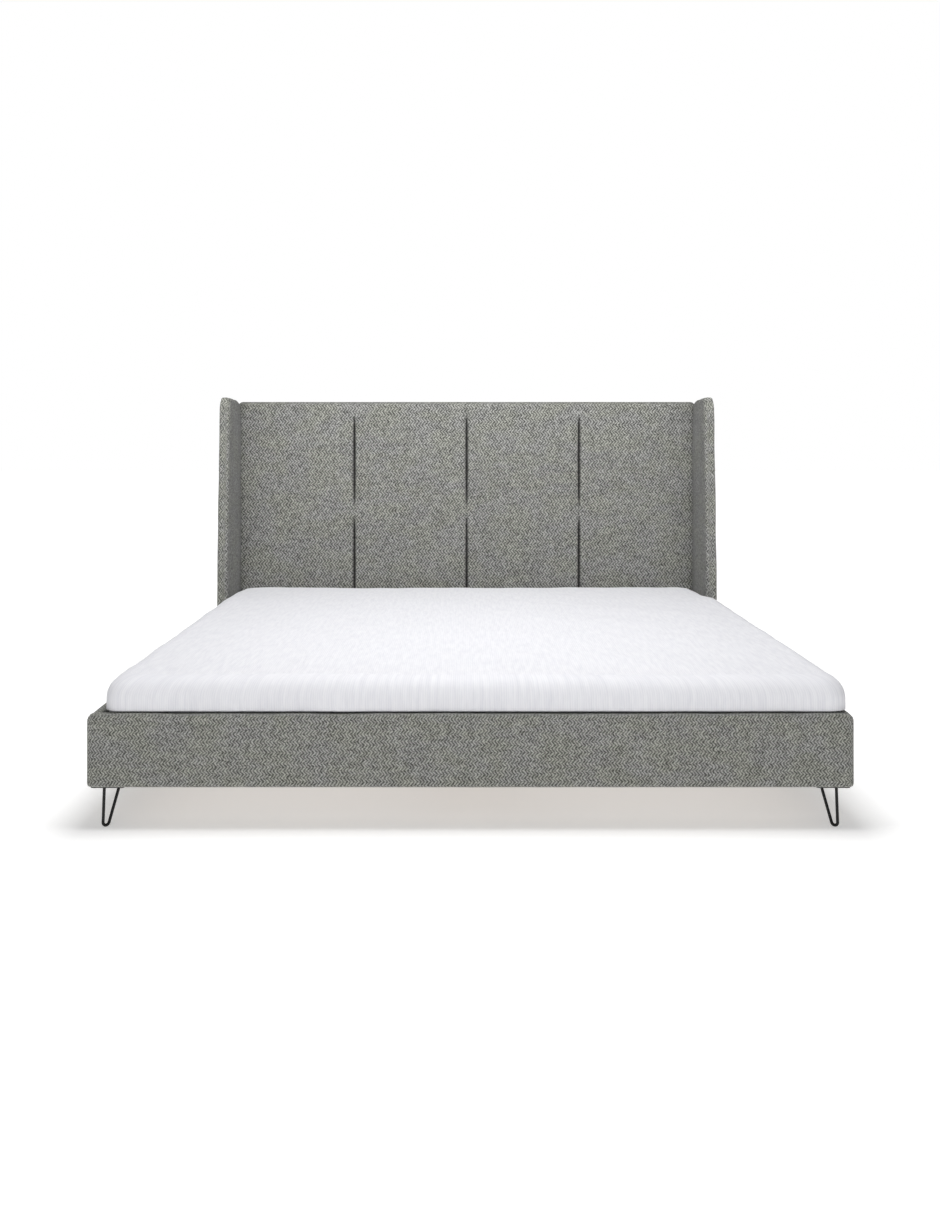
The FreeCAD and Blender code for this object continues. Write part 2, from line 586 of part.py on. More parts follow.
def bolt_corners(side, add_bolt):
    """Bolts through the corner blocks and the joint plate on one side of the bed."""
    face_x = side * (INNER_HALF - BLOCK)
    middle_x = side * (INNER_HALF - (BLOCK + LEDGER_W) / 2)     # clear of the ledger's end
    low = PLATE_BOTTOM + LEG_SCREW_L + BOLT_HOLE_D              # above the tips of the leg plate's screws
    high = low + 2 * BOLT_HOLE_D
    add_bolt(V(face_x, WELL_FRONT + BLOCK / 2, low), (side, 0, 0), BOARD_OUT - INNER_HALF + BLOCK)
    add_bolt(V(middle_x, WELL_FRONT + BLOCK, high), (0, -1, 0), BLOCK + FABRIC + RAIL_BOARD)
    add_bolt(V(face_x, WELL_BACK - BLOCK / 2, low), (side, 0, 0), WING_BOARD_OUT - INNER_HALF + BLOCK)
    add_bolt(V(middle_x, WELL_BACK - BLOCK, high), (0, 1, 0), BLOCK + FRAME_BACK - WELL_BACK)
    plate_x = INNER_HALF - JOINT_PLATE_T
    plate_z = FRAME_CLEARANCE + FABRIC + JOINT_PLATE_H / 2
    for share in JOINT_BOLT_SPOTS:
        outer = BOARD_OUT if share < 0 else WING_BOARD_OUT
        head = V(side * plate_x, WING_FRONT + share * JOINT_PLATE_L, plate_z)
        add_bolt(head, (side, 0, 0), outer - plate_x)


def screw_ledger(side, add_screw):
    """A screw through the ledger in each gap between two slats."""
    middles = slat_middles()
    for before, after in zip(middles, middles[1:]):
        head = V(side * (INNER_HALF - LEDGER_W), (before + after) / 2, LEDGER_TOP - LEDGER_H / 2)
        add_screw(head, (side, 0, 0), LEDGER_SCREW_L, LEDGER_W + FABRIC)


def screw_slats(add_screw):
    """Each slat is screwed down to the ledger, or the corner block, at each end and to the beam."""
    end = INNER_HALF - LEDGER_W / 2
    for y in slat_middles():
        for x in (-end, 0, end):
            add_screw(V(x, y, SLAT_TOP), (0, 0, -1), SLAT_SCREW_L, SLAT_T)


def screw_hangers(add_screw):
    """Four screws through each beam hanger, as long as the padding behind it asks for."""
    half = BEAM_W / 2 + HANGER_FIT + HANGER_T + HANGER_CHEEK / 4
    padding = HANGER_T + FABRIC
    rear_padding = HANGER_T + FRAME_FRONT - WELL_BACK
    for wall, way, soft in ((WELL_FRONT, -1, padding), (WELL_BACK, 1, rear_padding)):
        for x in (-half, half):
            for share in (1 / 4, 3 / 4):
                head = V(x, wall - way * HANGER_T, LEDGER_TOP - share * BEAM_H)
                add_screw(head, (0, way, 0), soft + HANGER_SCREW_BITE, soft)


def stand_on_legs(parts, screws, holes):
    """The four hairpin legs, with the screws that hold their plates."""
    corner_x = OUTER_HALF - LEG_INSET
    for end, corner_y, way in (("front", FRONT + LEG_INSET, 1), ("rear", BACK - REAR_LEG_INSET, -1)):
        leg, spots = hairpin_leg(corner_x, corner_y, way)
        made = [leg_screw(spot) for spot in spots]
        leg = leg.cut([hole for _, hole in made])
        for name, turned in (("right", lambda s: s), ("left", across)):
            parts[f"hairpin_leg_{end}_{name}"] = turned(leg)
            screws.extend(turned(screw) for screw, _ in made)
            holes.extend(turned(hole) for _, hole in made)


def main():
    os.makedirs("parts", exist_ok=True)
    parts = build()
    for name, shape in sorted(parts.items()):
        solids = shape.Solids
        whole = solids[0] if len(solids) == 1 else Part.makeCompound(solids)
        whole.exportStep(os.path.join("parts", name + ".step"))
        print(f"{name:28s} solids {len(solids):3d}  valid {whole.isValid()}  {whole.Volume / 1000:.1f} cm3")
    print(len(parts), "nodes")


main()
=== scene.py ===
# %% [markdown]
# This lesson dresses an upholstered wing bed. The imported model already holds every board, bolt, slat
# and leg at its real place, so the first step is to load it and to note its size. Everything that is
# added later is worked out from those boxes, in metres, with Y running from the foot to the headboard.

# %% Load the frame
import json
import math

import bpy
import numpy as np
from mathutils import Matrix, Vector


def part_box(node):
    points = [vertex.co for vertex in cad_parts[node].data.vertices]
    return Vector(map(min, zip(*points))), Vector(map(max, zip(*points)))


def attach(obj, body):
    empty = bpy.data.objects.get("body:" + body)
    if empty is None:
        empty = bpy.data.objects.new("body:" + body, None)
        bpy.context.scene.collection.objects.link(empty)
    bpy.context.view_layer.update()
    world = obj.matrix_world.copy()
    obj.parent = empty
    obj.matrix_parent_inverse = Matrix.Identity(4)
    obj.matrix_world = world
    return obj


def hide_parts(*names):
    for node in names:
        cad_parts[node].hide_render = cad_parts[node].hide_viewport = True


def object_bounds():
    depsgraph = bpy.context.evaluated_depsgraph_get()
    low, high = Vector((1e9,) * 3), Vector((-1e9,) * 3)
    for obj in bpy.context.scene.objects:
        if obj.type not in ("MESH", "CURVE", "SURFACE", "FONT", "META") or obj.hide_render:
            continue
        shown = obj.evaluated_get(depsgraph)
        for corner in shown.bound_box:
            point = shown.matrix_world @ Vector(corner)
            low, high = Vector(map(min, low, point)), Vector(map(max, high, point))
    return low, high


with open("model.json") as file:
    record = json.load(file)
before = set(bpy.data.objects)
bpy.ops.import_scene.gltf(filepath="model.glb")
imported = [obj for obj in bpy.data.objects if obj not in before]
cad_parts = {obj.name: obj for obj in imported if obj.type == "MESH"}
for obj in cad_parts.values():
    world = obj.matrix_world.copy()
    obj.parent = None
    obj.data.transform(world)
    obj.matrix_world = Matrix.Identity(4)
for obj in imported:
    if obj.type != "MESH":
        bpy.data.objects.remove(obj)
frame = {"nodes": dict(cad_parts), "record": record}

CAD_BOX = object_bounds()
NODES = frame["nodes"]
RECORD = frame["record"]
print("loaded", len(NODES), "nodes, box", [tuple(round(v, 3) for v in corner) for corner in CAD_BOX])

# %% [markdown]
# The camera stands at the foot of the bed, a little left of its middle and about chest high, and looks
# straight ahead. A level camera keeps upright edges upright, so the lens is shifted down instead of
# tilted to bring the bed into the middle of the frame.

# %% Camera
FOOT_Y = CAD_BOX[0].y
CAMERA_SETBACK = 3.322       # from the footboard's face
CAMERA_HEIGHT = 1.040
CAMERA_OFFSET = -0.0256      # to the left of the bed's middle
CAMERA_LENS = 37.73          # mm, on a 36 mm sensor along the long side
CAMERA_SHIFT = (0.0077, -0.1436)

bpy.ops.object.select_all(action="DESELECT")
bpy.ops.object.camera_add(location=(CAMERA_OFFSET, FOOT_Y - CAMERA_SETBACK, CAMERA_HEIGHT),
                          rotation=(math.radians(90), 0, 0))
camera = bpy.context.object
camera.name = "camera"
camera.data.lens = CAMERA_LENS
camera.data.sensor_width = 36
camera.data.shift_x, camera.data.shift_y = CAMERA_SHIFT
bpy.context.scene.camera = camera
print("camera at", tuple(round(v, 3) for v in camera.location))

# %% [markdown]
# A bed shows its shape best in a white cove with soft light. A large softbox hangs over the bed and
# leans towards the headboard, a second one stands high behind the camera, and the pale surroundings
# fill the shadows. The view transform is Standard, so that the white surroundings come out as clean
# white.

# %% Studio
FLOOR_SIZE = 60.0
AMBIENT = 0.14               # how strongly the white surroundings light the bed


def softbox(name, place, aim, size, power):
    """A rectangular area light at a place, turned towards the point aim."""
    bpy.ops.object.light_add(type="AREA", location=place)
    light = bpy.context.object
    light.name = name
    light.data.shape = "RECTANGLE"
    light.data.size, light.data.size_y = size
    light.data.energy = power
    direction = [a - p for a, p in zip(aim, place)]
    light.rotation_euler = Vector(direction).to_track_quat("-Z", "Y").to_euler()
    return light


softbox("overhead_softbox", place=(0.0, -0.55, 3.1), aim=(0.0, 0.35, 0.4), size=(1.7, 2.6), power=90)
softbox("front_softbox", place=(-0.6, -6.0, 2.9), aim=(0.0, 0.0, 0.5), size=(4.0, 2.4), power=46)

scene = bpy.context.scene
scene.view_settings.view_transform = "Standard"
world = bpy.data.worlds.new("studio")
scene.world = world
world.use_nodes = True
tree = world.node_tree
tree.nodes.clear()
output = tree.nodes.new("ShaderNodeOutputWorld")
mix = tree.nodes.new("ShaderNodeMixShader")
rays = tree.nodes.new("ShaderNodeLightPath")
fill = tree.nodes.new("ShaderNodeBackground")
fill.inputs["Color"].default_value = (1.0, 1.0, 1.0, 1.0)
fill.inputs["Strength"].default_value = AMBIENT
backdrop = tree.nodes.new("ShaderNodeBackground")
backdrop.inputs["Color"].default_value = (1.0, 1.0, 1.0, 1.0)
backdrop.inputs["Strength"].default_value = 1.0
tree.links.new(rays.outputs["Is Camera Ray"], mix.inputs["Fac"])
tree.links.new(fill.outputs[0], mix.inputs[1])
tree.links.new(backdrop.outputs[0], mix.inputs[2])
tree.links.new(mix.outputs[0], output.inputs["Surface"])

bpy.ops.object.select_all(action="DESELECT")
bpy.ops.mesh.primitive_plane_add(size=FLOOR_SIZE, location=(0, 0, 0))
floor = bpy.context.object
floor.name = "studio_floor"
print("floor", FLOOR_SIZE, "m across")

# %% [markdown]
# Materials are built from nodes. These small helpers add a node, link it and give back the socket that
# carries its result, so that each recipe below reads from the fibre outwards. Numbers that never vary
# over a surface are set on the shader itself.


# %% Node helpers
def new_material(name, roughness, metallic=0.0, sheen=0.0):
    """An empty material with its shader, ready for colour and bump."""
    material = bpy.data.materials.new(name)
    material.use_nodes = True
    shader = material.node_tree.nodes["Principled BSDF"]
    shader.inputs["Roughness"].default_value = roughness
    shader.inputs["Metallic"].default_value = metallic
    shader.inputs["Sheen Weight"].default_value = sheen
    shader.inputs["Sheen Roughness"].default_value = 0.6
    return material, material.node_tree, shader


def add(tree, kind, **inputs):
    """Adds a node; each input is a number, a colour or a socket to link from."""
    node = tree.nodes.new(kind)
    for name, value in inputs.items():
        socket = node.inputs[name]
        if isinstance(value, bpy.types.NodeSocket):
            tree.links.new(value, socket)
        else:
            socket.default_value = value
    return node


def maths(tree, operation, *values):
    """A maths node over numbers or sockets."""
    node = tree.nodes.new("ShaderNodeMath")
    node.operation = operation
    for socket, value in zip(node.inputs, values):
        if isinstance(value, bpy.types.NodeSocket):
            tree.links.new(value, socket)
        else:
            socket.default_value = value
    return node.outputs[0]


def ramp(tree, fac, stops):
    """A colour ramp over (place, colour) stops."""
    node = tree.nodes.new("ShaderNodeValToRGB")
    tree.links.new(fac, node.inputs[0])
    elements = node.color_ramp.elements
    while len(elements) < len(stops):
        elements.new(0.5)
    for element, (place, colour) in zip(elements, stops):
        element.position = place
        element.color = (*colour, 1.0)
    return node.outputs["Color"]


def blend_colours(tree, fac, a, b, kind="MIX"):
    """Mixes two colours, or multiplies one by the other."""
    node = tree.nodes.new("ShaderNodeMix")
    node.data_type = "RGBA"
    node.blend_type = kind
    for socket, value in ((node.inputs[0], fac), (node.inputs[6], a), (node.inputs[7], b)):
        if isinstance(value, bpy.types.NodeSocket):
            tree.links.new(value, socket)
        else:
            socket.default_value = value if isinstance(value, float) else (*value, 1.0)
    return node.outputs[2]


def noise(tree, vector, scale, detail=2.0, roughness=0.5):
    """A smooth random value between 0 and 1; scale is in features per metre."""
    node = add(tree, "ShaderNodeTexNoise", Vector=vector, Scale=scale, Detail=detail, Roughness=roughness)
    return node.outputs["Fac"]


def stretched(tree, vector, scale):
    """The same coordinates, scaled differently along each axis."""
    return add(tree, "ShaderNodeMapping", Vector=vector, Scale=scale).outputs[0]


def bump(tree, height, distance, strength=1.0, normal=None):
    """Tilts the shading by a height, on top of an earlier bump if one is given."""
    node = add(tree, "ShaderNodeBump", Height=height, Distance=distance, Strength=strength)
    if normal is not None:
        tree.links.new(normal, node.inputs["Normal"])
    return node.outputs[0]


def cloth_places(tree):
    """Coordinates on a piece's own cloth, from its UV map."""
    uv = tree.nodes.new("ShaderNodeUVMap")
    uv.uv_map = "cloth"
    return uv.outputs[0]


def object_places(tree):
    """Coordinates in the frame, in metres."""
    return tree.nodes.new("ShaderNodeTexCoord").outputs["Object"]


# %% [markdown]
# The cover is a grey tweed woven as a broken herringbone: short diagonal ribs that turn back every
# centimetre, spun from light and dark wool, with nubs that interrupt the ribs. It could be a flat grey
# with noise, but then it would read as felt. Here the ribs are a wave whose phase zigzags with the
# height up the cloth, measured on the piece's own UV map. Slow patches of warmer and cooler wool run
# through it. A value stored on the mesh darkens the wool. It is painted shadow, for the slits, the
# creases, the headboard's top edge and the wings' inner faces, which these soft lights leave too bright,
# so it stays in any light.

# %% Tweed
RIB_PITCH = 0.0105           # from one diagonal rib to the next, across the cloth
HERRINGBONE = 0.0115         # height of a row before the ribs turn back
RIB_SLOPE = 0.95
ROW_WANDER = 0.010           # how far a row of the herringbone strays
SLUB_SHIFT = 0.95            # how far thick and thin yarn pushes a rib aside, in ribs
LIGHT_WOOL = (0.445, 0.445, 0.425)
MID_WOOL = (0.205, 0.206, 0.195)
DARK_WOOL = (0.050, 0.051, 0.046)
WARM_CAST = (1.00, 1.01, 0.94)
COOL_CAST = (0.99, 0.99, 0.995)
# colour and strength of the painted shadow that the mesh's stored value calls for
PAINTED_SHADE_COLOUR = (0.012, 0.012, 0.011)
PAINTED_SHADE_STRENGTH = 0.85


def tweed():
    material, tree, shader = new_material("grey_tweed", 0.92, sheen=0.12)
    cloth = cloth_places(tree)
    split = add(tree, "ShaderNodeSeparateXYZ", Vector=cloth)
    across, up = split.outputs["X"], split.outputs["Y"]
    slub = noise(tree, cloth, 140.0, 3.0, 0.6)
    drift = noise(tree, cloth, 26.0, 2.0)
    row = maths(tree, "MULTIPLY_ADD", drift, ROW_WANDER, up)
    zigzag = maths(tree, "PINGPONG", row, HERRINGBONE)
    climb = maths(tree, "ADD", across, maths(tree, "MULTIPLY", zigzag, RIB_SLOPE))
    steps = maths(tree, "DIVIDE", climb, RIB_PITCH)
    turns = maths(tree, "ADD", steps, maths(tree, "MULTIPLY", slub, SLUB_SHIFT))
    rib = maths(tree, "SINE", maths(tree, "MULTIPLY", turns, 2 * math.pi))
    rib01 = maths(tree, "MULTIPLY_ADD", rib, 0.5, 0.5)
    nub = add(tree, "ShaderNodeTexVoronoi", Vector=stretched(tree, cloth, (150.0, 210.0, 1.0)), Scale=1.0)
    nub_shade = add(tree, "ShaderNodeSeparateColor", Color=nub.outputs["Color"]).outputs[0]
    fibre = noise(tree, stretched(tree, cloth, (900.0, 420.0, 1.0)), 1.0, 2.0)
    shade = maths(tree, "MULTIPLY", rib01, 0.50)
    shade = maths(tree, "MULTIPLY_ADD", nub_shade, 0.32, shade)
    shade = maths(tree, "MULTIPLY_ADD", fibre, 0.24, shade)
    wool = ramp(tree, shade, [(0.18, DARK_WOOL), (0.52, MID_WOOL), (0.88, LIGHT_WOOL)])
    patches = noise(tree, stretched(tree, cloth, (9.0, 14.0, 1.0)), 1.0, 2.0)
    cast = ramp(tree, patches, [(0.40, WARM_CAST), (0.60, COOL_CAST)])
    colour = blend_colours(tree, 1.0, wool, cast, "MULTIPLY")
    # painted shadow: the mesh's stored value darkens the wool towards near black
    painted_shade = tree.nodes.new("ShaderNodeAttribute")
    painted_shade.attribute_name = "painted_shade"
    shade_amount = maths(tree, "MULTIPLY", painted_shade.outputs["Fac"], PAINTED_SHADE_STRENGTH)
    colour = blend_colours(tree, shade_amount, colour, PAINTED_SHADE_COLOUR)
    tree.links.new(colour, shader.inputs["Base Color"])
    raised = maths(tree, "MULTIPLY", rib01, 0.6)
    height = maths(tree, "ADD", raised, maths(tree, "MULTIPLY", nub_shade, 0.5))
    normal = bump(tree, height, 0.0012, 0.8)
    normal = bump(tree, fibre, 0.0005, 0.6, normal)
    tree.links.new(normal, shader.inputs["Normal"])
    return material


TWEED = tweed()
print("tweed ribs every", RIB_PITCH * 1000, "mm")

# %% [markdown]
# The mattress cover is a thin white rib knit. Its ribs run up the foot end and on towards the headboard,
# and they catch the light as fine broken streaks. The material stretches a noise along the ribs for the
# streaks and uses a fine wave for the ribs themselves, both on the cover's own UV map. Both darken the
# white towards a bluish grey, which is painted shade, and both are bumps as well.

# %% Knit
KNIT_RIB = 0.006             # from one rib to the next
KNIT_WHITE = (0.87, 0.87, 0.90)
KNIT_SHADE = (0.77, 0.77, 0.815)


def knit():
    material, tree, shader = new_material("white_knit", 0.85, sheen=0.1)
    cloth = cloth_places(tree)
    split = add(tree, "ShaderNodeSeparateXYZ", Vector=cloth)
    wander = noise(tree, stretched(tree, cloth, (60.0, 9.0, 1.0)), 1.0, 2.0)
    turns = maths(tree, "ADD", maths(tree, "DIVIDE", split.outputs["X"], KNIT_RIB), wander)
    wave = maths(tree, "SINE", maths(tree, "MULTIPLY", turns, 2 * math.pi))
    rib = maths(tree, "MULTIPLY_ADD", wave, 0.5, 0.5)
    streak = noise(tree, stretched(tree, cloth, (85.0, 11.0, 1.0)), 1.0, 3.0, 0.6)
    stitch = noise(tree, stretched(tree, cloth, (420.0, 700.0, 1.0)), 1.0, 1.0)
    shade = maths(tree, "MULTIPLY_ADD", streak, 0.8, maths(tree, "MULTIPLY", rib, 0.16))
    # painted shade: the streaks and ribs darken the white towards a bluish grey
    colour = ramp(tree, shade, [(0.28, KNIT_SHADE), (0.62, KNIT_WHITE)])
    tree.links.new(colour, shader.inputs["Base Color"])
    normal = bump(tree, rib, 0.0004, 0.6)
    normal = bump(tree, streak, 0.0015, 0.35, normal)
    normal = bump(tree, stitch, 0.0003, 0.5, normal)
    tree.links.new(normal, shader.inputs["Normal"])
    return material


KNIT = knit()
print("knit ribs every", KNIT_RIB * 1000, "mm")

# %% [markdown]
# The timber is hidden until the mattress comes off, but it is there to be seen then. Each board's grain
# follows its length, so there is one recipe with a direction: rings squeezed across the board and drawn
# out along it, fine pores, and a few slow changes of tone.


# %% Timber
def timber(name, along, pale, dark, ring=26.0):
    """Wood with its grain along one axis, 0 for X, 1 for Y and 2 for Z."""
    material, tree, shader = new_material(name, 0.62)
    place = object_places(tree)
    squeeze = [ring] * 3
    squeeze[along] = ring * 0.04
    grain = stretched(tree, place, squeeze)
    waver = noise(tree, grain, 1.0, 3.0, 0.55)
    rings = maths(tree, "FRACT", maths(tree, "MULTIPLY", waver, 9.0))
    fine = [ring * 22] * 3
    fine[along] = ring * 0.5
    pores = noise(tree, stretched(tree, place, fine), 1.0, 2.0)
    tone = noise(tree, place, 3.0, 1.0)
    mixed = maths(tree, "MULTIPLY_ADD", rings, 0.45, maths(tree, "MULTIPLY", pores, 0.35))
    mixed = maths(tree, "MULTIPLY_ADD", tone, 0.3, mixed)
    colour = ramp(tree, mixed, [(0.2, pale), (0.85, dark)])
    tree.links.new(colour, shader.inputs["Base Color"])
    rough = maths(tree, "MULTIPLY_ADD", pores, 0.25, 0.48)
    tree.links.new(rough, shader.inputs["Roughness"])
    tree.links.new(bump(tree, pores, 0.0006, 0.5), shader.inputs["Normal"])
    return material


PINE_PALE, PINE_DARK = (0.66, 0.54, 0.40), (0.42, 0.31, 0.21)
BEECH_PALE, BEECH_DARK = (0.68, 0.58, 0.45), (0.50, 0.40, 0.29)
PLY_PALE, PLY_DARK = (0.73, 0.58, 0.40), (0.60, 0.44, 0.27)
PINE = [timber(f"pine_along_{axis}", i, PINE_PALE, PINE_DARK) for i, axis in enumerate("xyz")]
BEECH = timber("beech_slat", 0, BEECH_PALE, BEECH_DARK, 34.0)
PLYWOOD = timber("birch_plywood", 2, PLY_PALE, PLY_DARK, 18.0)
print("timbers:", [material.name for material in (*PINE, BEECH, PLYWOOD)])

# %% [markdown]
# The legs are powder coated. Powder coat is never quite smooth: it has a fine orange peel and a broad,
# soft highlight. The bolts, plates and screws are zinc plated, with a slight blue and yellow bloom. The
# feet are moulded, and the lining over the back is a black spun cloth with a dotted emboss.


# %% Metal, plastic and lining
def powder_coat():
    material, tree, shader = new_material("black_powder_coat", 0.42)
    shader.inputs["Specular IOR Level"].default_value = 0.3
    place = object_places(tree)
    peel = noise(tree, place, 900.0, 2.0)
    dust = noise(tree, place, 35.0, 3.0)
    colour = ramp(tree, dust, [(0.35, (0.005, 0.005, 0.0055)), (0.75, (0.011, 0.011, 0.011))])
    tree.links.new(colour, shader.inputs["Base Color"])
    rough = maths(tree, "MULTIPLY_ADD", dust, 0.2, 0.34)
    tree.links.new(rough, shader.inputs["Roughness"])
    tree.links.new(bump(tree, peel, 0.0002, 0.4), shader.inputs["Normal"])
    return material


def zinc():
    material, tree, shader = new_material("zinc_plated_steel", 0.38, metallic=1.0)
    place = object_places(tree)
    bloom = noise(tree, place, 60.0, 3.0)
    blue, grey, yellow = (0.52, 0.54, 0.58), (0.62, 0.62, 0.60), (0.64, 0.60, 0.48)
    colour = ramp(tree, bloom, [(0.3, blue), (0.55, grey), (0.8, yellow)])
    tree.links.new(colour, shader.inputs["Base Color"])
    rough = maths(tree, "MULTIPLY_ADD", noise(tree, place, 400.0), 0.3, 0.22)
    tree.links.new(rough, shader.inputs["Roughness"])
    return material


def moulded():
    material, tree, shader = new_material("black_moulding", 0.6)
    place = object_places(tree)
    pebble = add(tree, "ShaderNodeTexVoronoi", Vector=place, Scale=900.0).outputs["Distance"]
    dark, pale = (0.018, 0.018, 0.019), (0.035, 0.035, 0.035)
    colour = ramp(tree, noise(tree, place, 50.0), [(0.3, dark), (0.8, pale)])
    tree.links.new(colour, shader.inputs["Base Color"])
    tree.links.new(bump(tree, pebble, 0.0002, 0.5), shader.inputs["Normal"])
    return material


def spun_lining():
    material, tree, shader = new_material("black_spun_lining", 0.88)
    place = object_places(tree)
    dots = add(tree, "ShaderNodeTexVoronoi", Vector=stretched(tree, place, (420.0, 1.0, 420.0)), Scale=1.0,
               Randomness=0.15).outputs["Distance"]
    fibres = noise(tree, place, 700.0, 3.0)
    fade = noise(tree, place, 4.0, 2.0)
    shade = maths(tree, "MULTIPLY_ADD", dots, 0.35, maths(tree, "MULTIPLY", fibres, 0.5))
    shade = maths(tree, "MULTIPLY_ADD", fade, 0.25, shade)
    colour = ramp(tree, shade, [(0.2, (0.012, 0.012, 0.013)), (0.9, (0.05, 0.05, 0.052))])
    tree.links.new(colour, shader.inputs["Base Color"])
    tree.links.new(bump(tree, dots, 0.0004, 0.7), shader.inputs["Normal"])
    return material


POWDER_COAT, ZINC, MOULDING, LINING = powder_coat(), zinc(), moulded(), spun_lining()
print("finishes:", [material.name for material in (POWDER_COAT, ZINC, MOULDING, LINING)])

# %% [markdown]
# A cove floor has no edge to be seen. This one gives off a little light of its own, which is painted
# light: faint under the bed so that the bed still casts its shadow, and rising to the backdrop's white
# about a metre out.

# %% Floor
BED_REACH = (("X", 0.95), ("Y", 1.0))    # how far the faint part reaches from the middle, each way
GLOW_REACH = 1.1             # from there to full white
GLOW_UNDER, GLOW_FAR = 0.37, 1.0


def white_glowing_floor():
    """A white cove floor that lights itself a little, so that it meets the backdrop without a line."""
    material, tree, shader = new_material("cove_white_glowing", 0.9)
    place = object_places(tree)
    colour = ramp(tree, noise(tree, place, 1.5), [(0.0, (0.80, 0.80, 0.80)), (1.0, (0.82, 0.82, 0.82))])
    tree.links.new(colour, shader.inputs["Base Color"])
    shader.inputs["Specular IOR Level"].default_value = 0.0
    shader.inputs["Emission Color"].default_value = (1.0, 1.0, 1.0, 1.0)
    split = add(tree, "ShaderNodeSeparateXYZ", Vector=place)
    squares = []
    for axis, reach in BED_REACH:
        past = maths(tree, "SUBTRACT", maths(tree, "ABSOLUTE", split.outputs[axis]), reach)
        squares.append(maths(tree, "POWER", maths(tree, "MAXIMUM", past, 0.0), 2.0))
    beyond = maths(tree, "SQRT", maths(tree, "ADD", *squares))
    glow = add(tree, "ShaderNodeMapRange", Value=beyond)
    for socket, value in zip(glow.inputs[1:5], (0.0, GLOW_REACH, GLOW_UNDER, GLOW_FAR)):
        socket.default_value = value
    # painted light: the floor's own glow, dim under the bed and full white further out
    tree.links.new(glow.outputs[0], shader.inputs["Emission Strength"])
    return material


floor.data.materials.append(white_glowing_floor())
print("floor glows from", GLOW_UNDER, "to", GLOW_FAR, "over", GLOW_REACH, "m")

# %% [markdown]
# The frame's own parts keep their shapes and only need a finish. Each node's material slot in the record
# says what it is made of, and its longest side says which way the grain runs.


# %% Finish the frame's parts
def longest_side(node):
    low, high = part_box(node)
    sides = [high[i] - low[i] for i in range(3)]
    return sides.index(max(sides))


PLAIN_FINISH = {"black_powder_coat": POWDER_COAT, "zinc_steel": ZINC, "black_plastic": MOULDING,
                "slat_timber": BEECH, "plywood": PLYWOOD, "lining_cloth": LINING}
for row in RECORD["subparts"]:
    node, slot_name = row["node"], row["material_slot"]
    finish = PLAIN_FINISH.get(slot_name, PINE[longest_side(node)])
    materials = NODES[node].data.materials
    materials.clear()
    materials.append(finish)
print("finished", len(RECORD["subparts"]), "nodes")

# %% [markdown]
# Every upholstered piece starts as a block. A cube is added at the size of the part that it covers, and
# its edges are subdivided one direction at a time, so the cage is an even grid that follows the block.
# The cut lines are then moved: close together where cloth turns an edge or drops into a seam, and wide
# where it lies flat. The cloth's UV map is laid before anything bends, one panel for each side, so the
# weave changes direction only at the edges. It is in metres times a fineness that was chosen for each
# kind of piece: above 1 draws the weave finer, below 1 coarser. Real cloth would have one scale.

# %% Blocks of cloth
MOST_CUTS = 100              # in one subdivide
EDGE_CUTS = (0.2, 0.45, 0.72, 1.0)       # where an edge is cut, as shares of its width
CLEAR_SHARE = 0.25           # an even line this near a wanted one, in cells, gives way to it
SAME_PLACE = 1e-5            # two places closer than this are one


def mesh_places(mesh):
    """The places of a mesh's vertices, one row each."""
    co = np.empty(len(mesh.vertices) * 3)
    mesh.vertices.foreach_get("co", co)
    return co.reshape(-1, 3)


def set_places(mesh, co):
    """Moves a mesh's vertices to new places."""
    mesh.vertices.foreach_set("co", co.ravel())
    mesh.update()


def spaced(low, high, cell, close=(), edge=0.0):
    """Cut lines from low to high, about cell apart, with extra ones at close and four in each edge."""
    lines = set(np.linspace(low, high, max(2, round((high - low) / cell) + 1)))
    near = [edge * share for share in EDGE_CUTS] if edge else []
    wanted = sorted([low + d for d in near] + [high - d for d in near] + [c for c in close if low < c < high])
    gap = cell * CLEAR_SHARE
    lines = {v for v in lines if v in (low, high) or all(abs(v - w) > gap for w in wanted)}
    return sorted(lines | set(wanted))


def select_last_stretch(mesh, axis):
    """Selects the edges that run along an axis and end on the far side; call it in object mode."""
    at = mesh_places(mesh)[:, axis]
    ends = np.empty(len(mesh.edges) * 2, int)
    mesh.edges.foreach_get("vertices", ends)
    one, other = at[ends[0::2]], at[ends[1::2]]
    runs = np.abs(one - other) > SAME_PLACE
    mesh.edges.foreach_set("select", runs & (np.maximum(one, other) > at.max() - SAME_PLACE))


def levels_of(values):
    """The separate levels among many values that are equal but for rounding."""
    values = np.sort(values)
    return values[np.concatenate([[True], np.diff(values) > SAME_PLACE])]


def cut_along(mesh, axis, places):
    """Cuts a block across an axis at the given places, at most MOST_CUTS at a time."""
    done = 0
    while done < len(places) - 2:
        step = min(MOST_CUTS, len(places) - 2 - done)
        bpy.context.tool_settings.mesh_select_mode = (False, True, False)
        bpy.ops.object.mode_set(mode="EDIT")
        bpy.ops.mesh.select_all(action="DESELECT")
        bpy.ops.object.mode_set(mode="OBJECT")
        select_last_stretch(mesh, axis)
        bpy.ops.object.mode_set(mode="EDIT")
        bpy.ops.mesh.subdivide(number_cuts=step)
        bpy.ops.object.mode_set(mode="OBJECT")
        done += step
        co = mesh_places(mesh)
        co[:, axis] = np.interp(co[:, axis], levels_of(co[:, axis]), [*places[:done + 1], places[-1]])
        set_places(mesh, co)


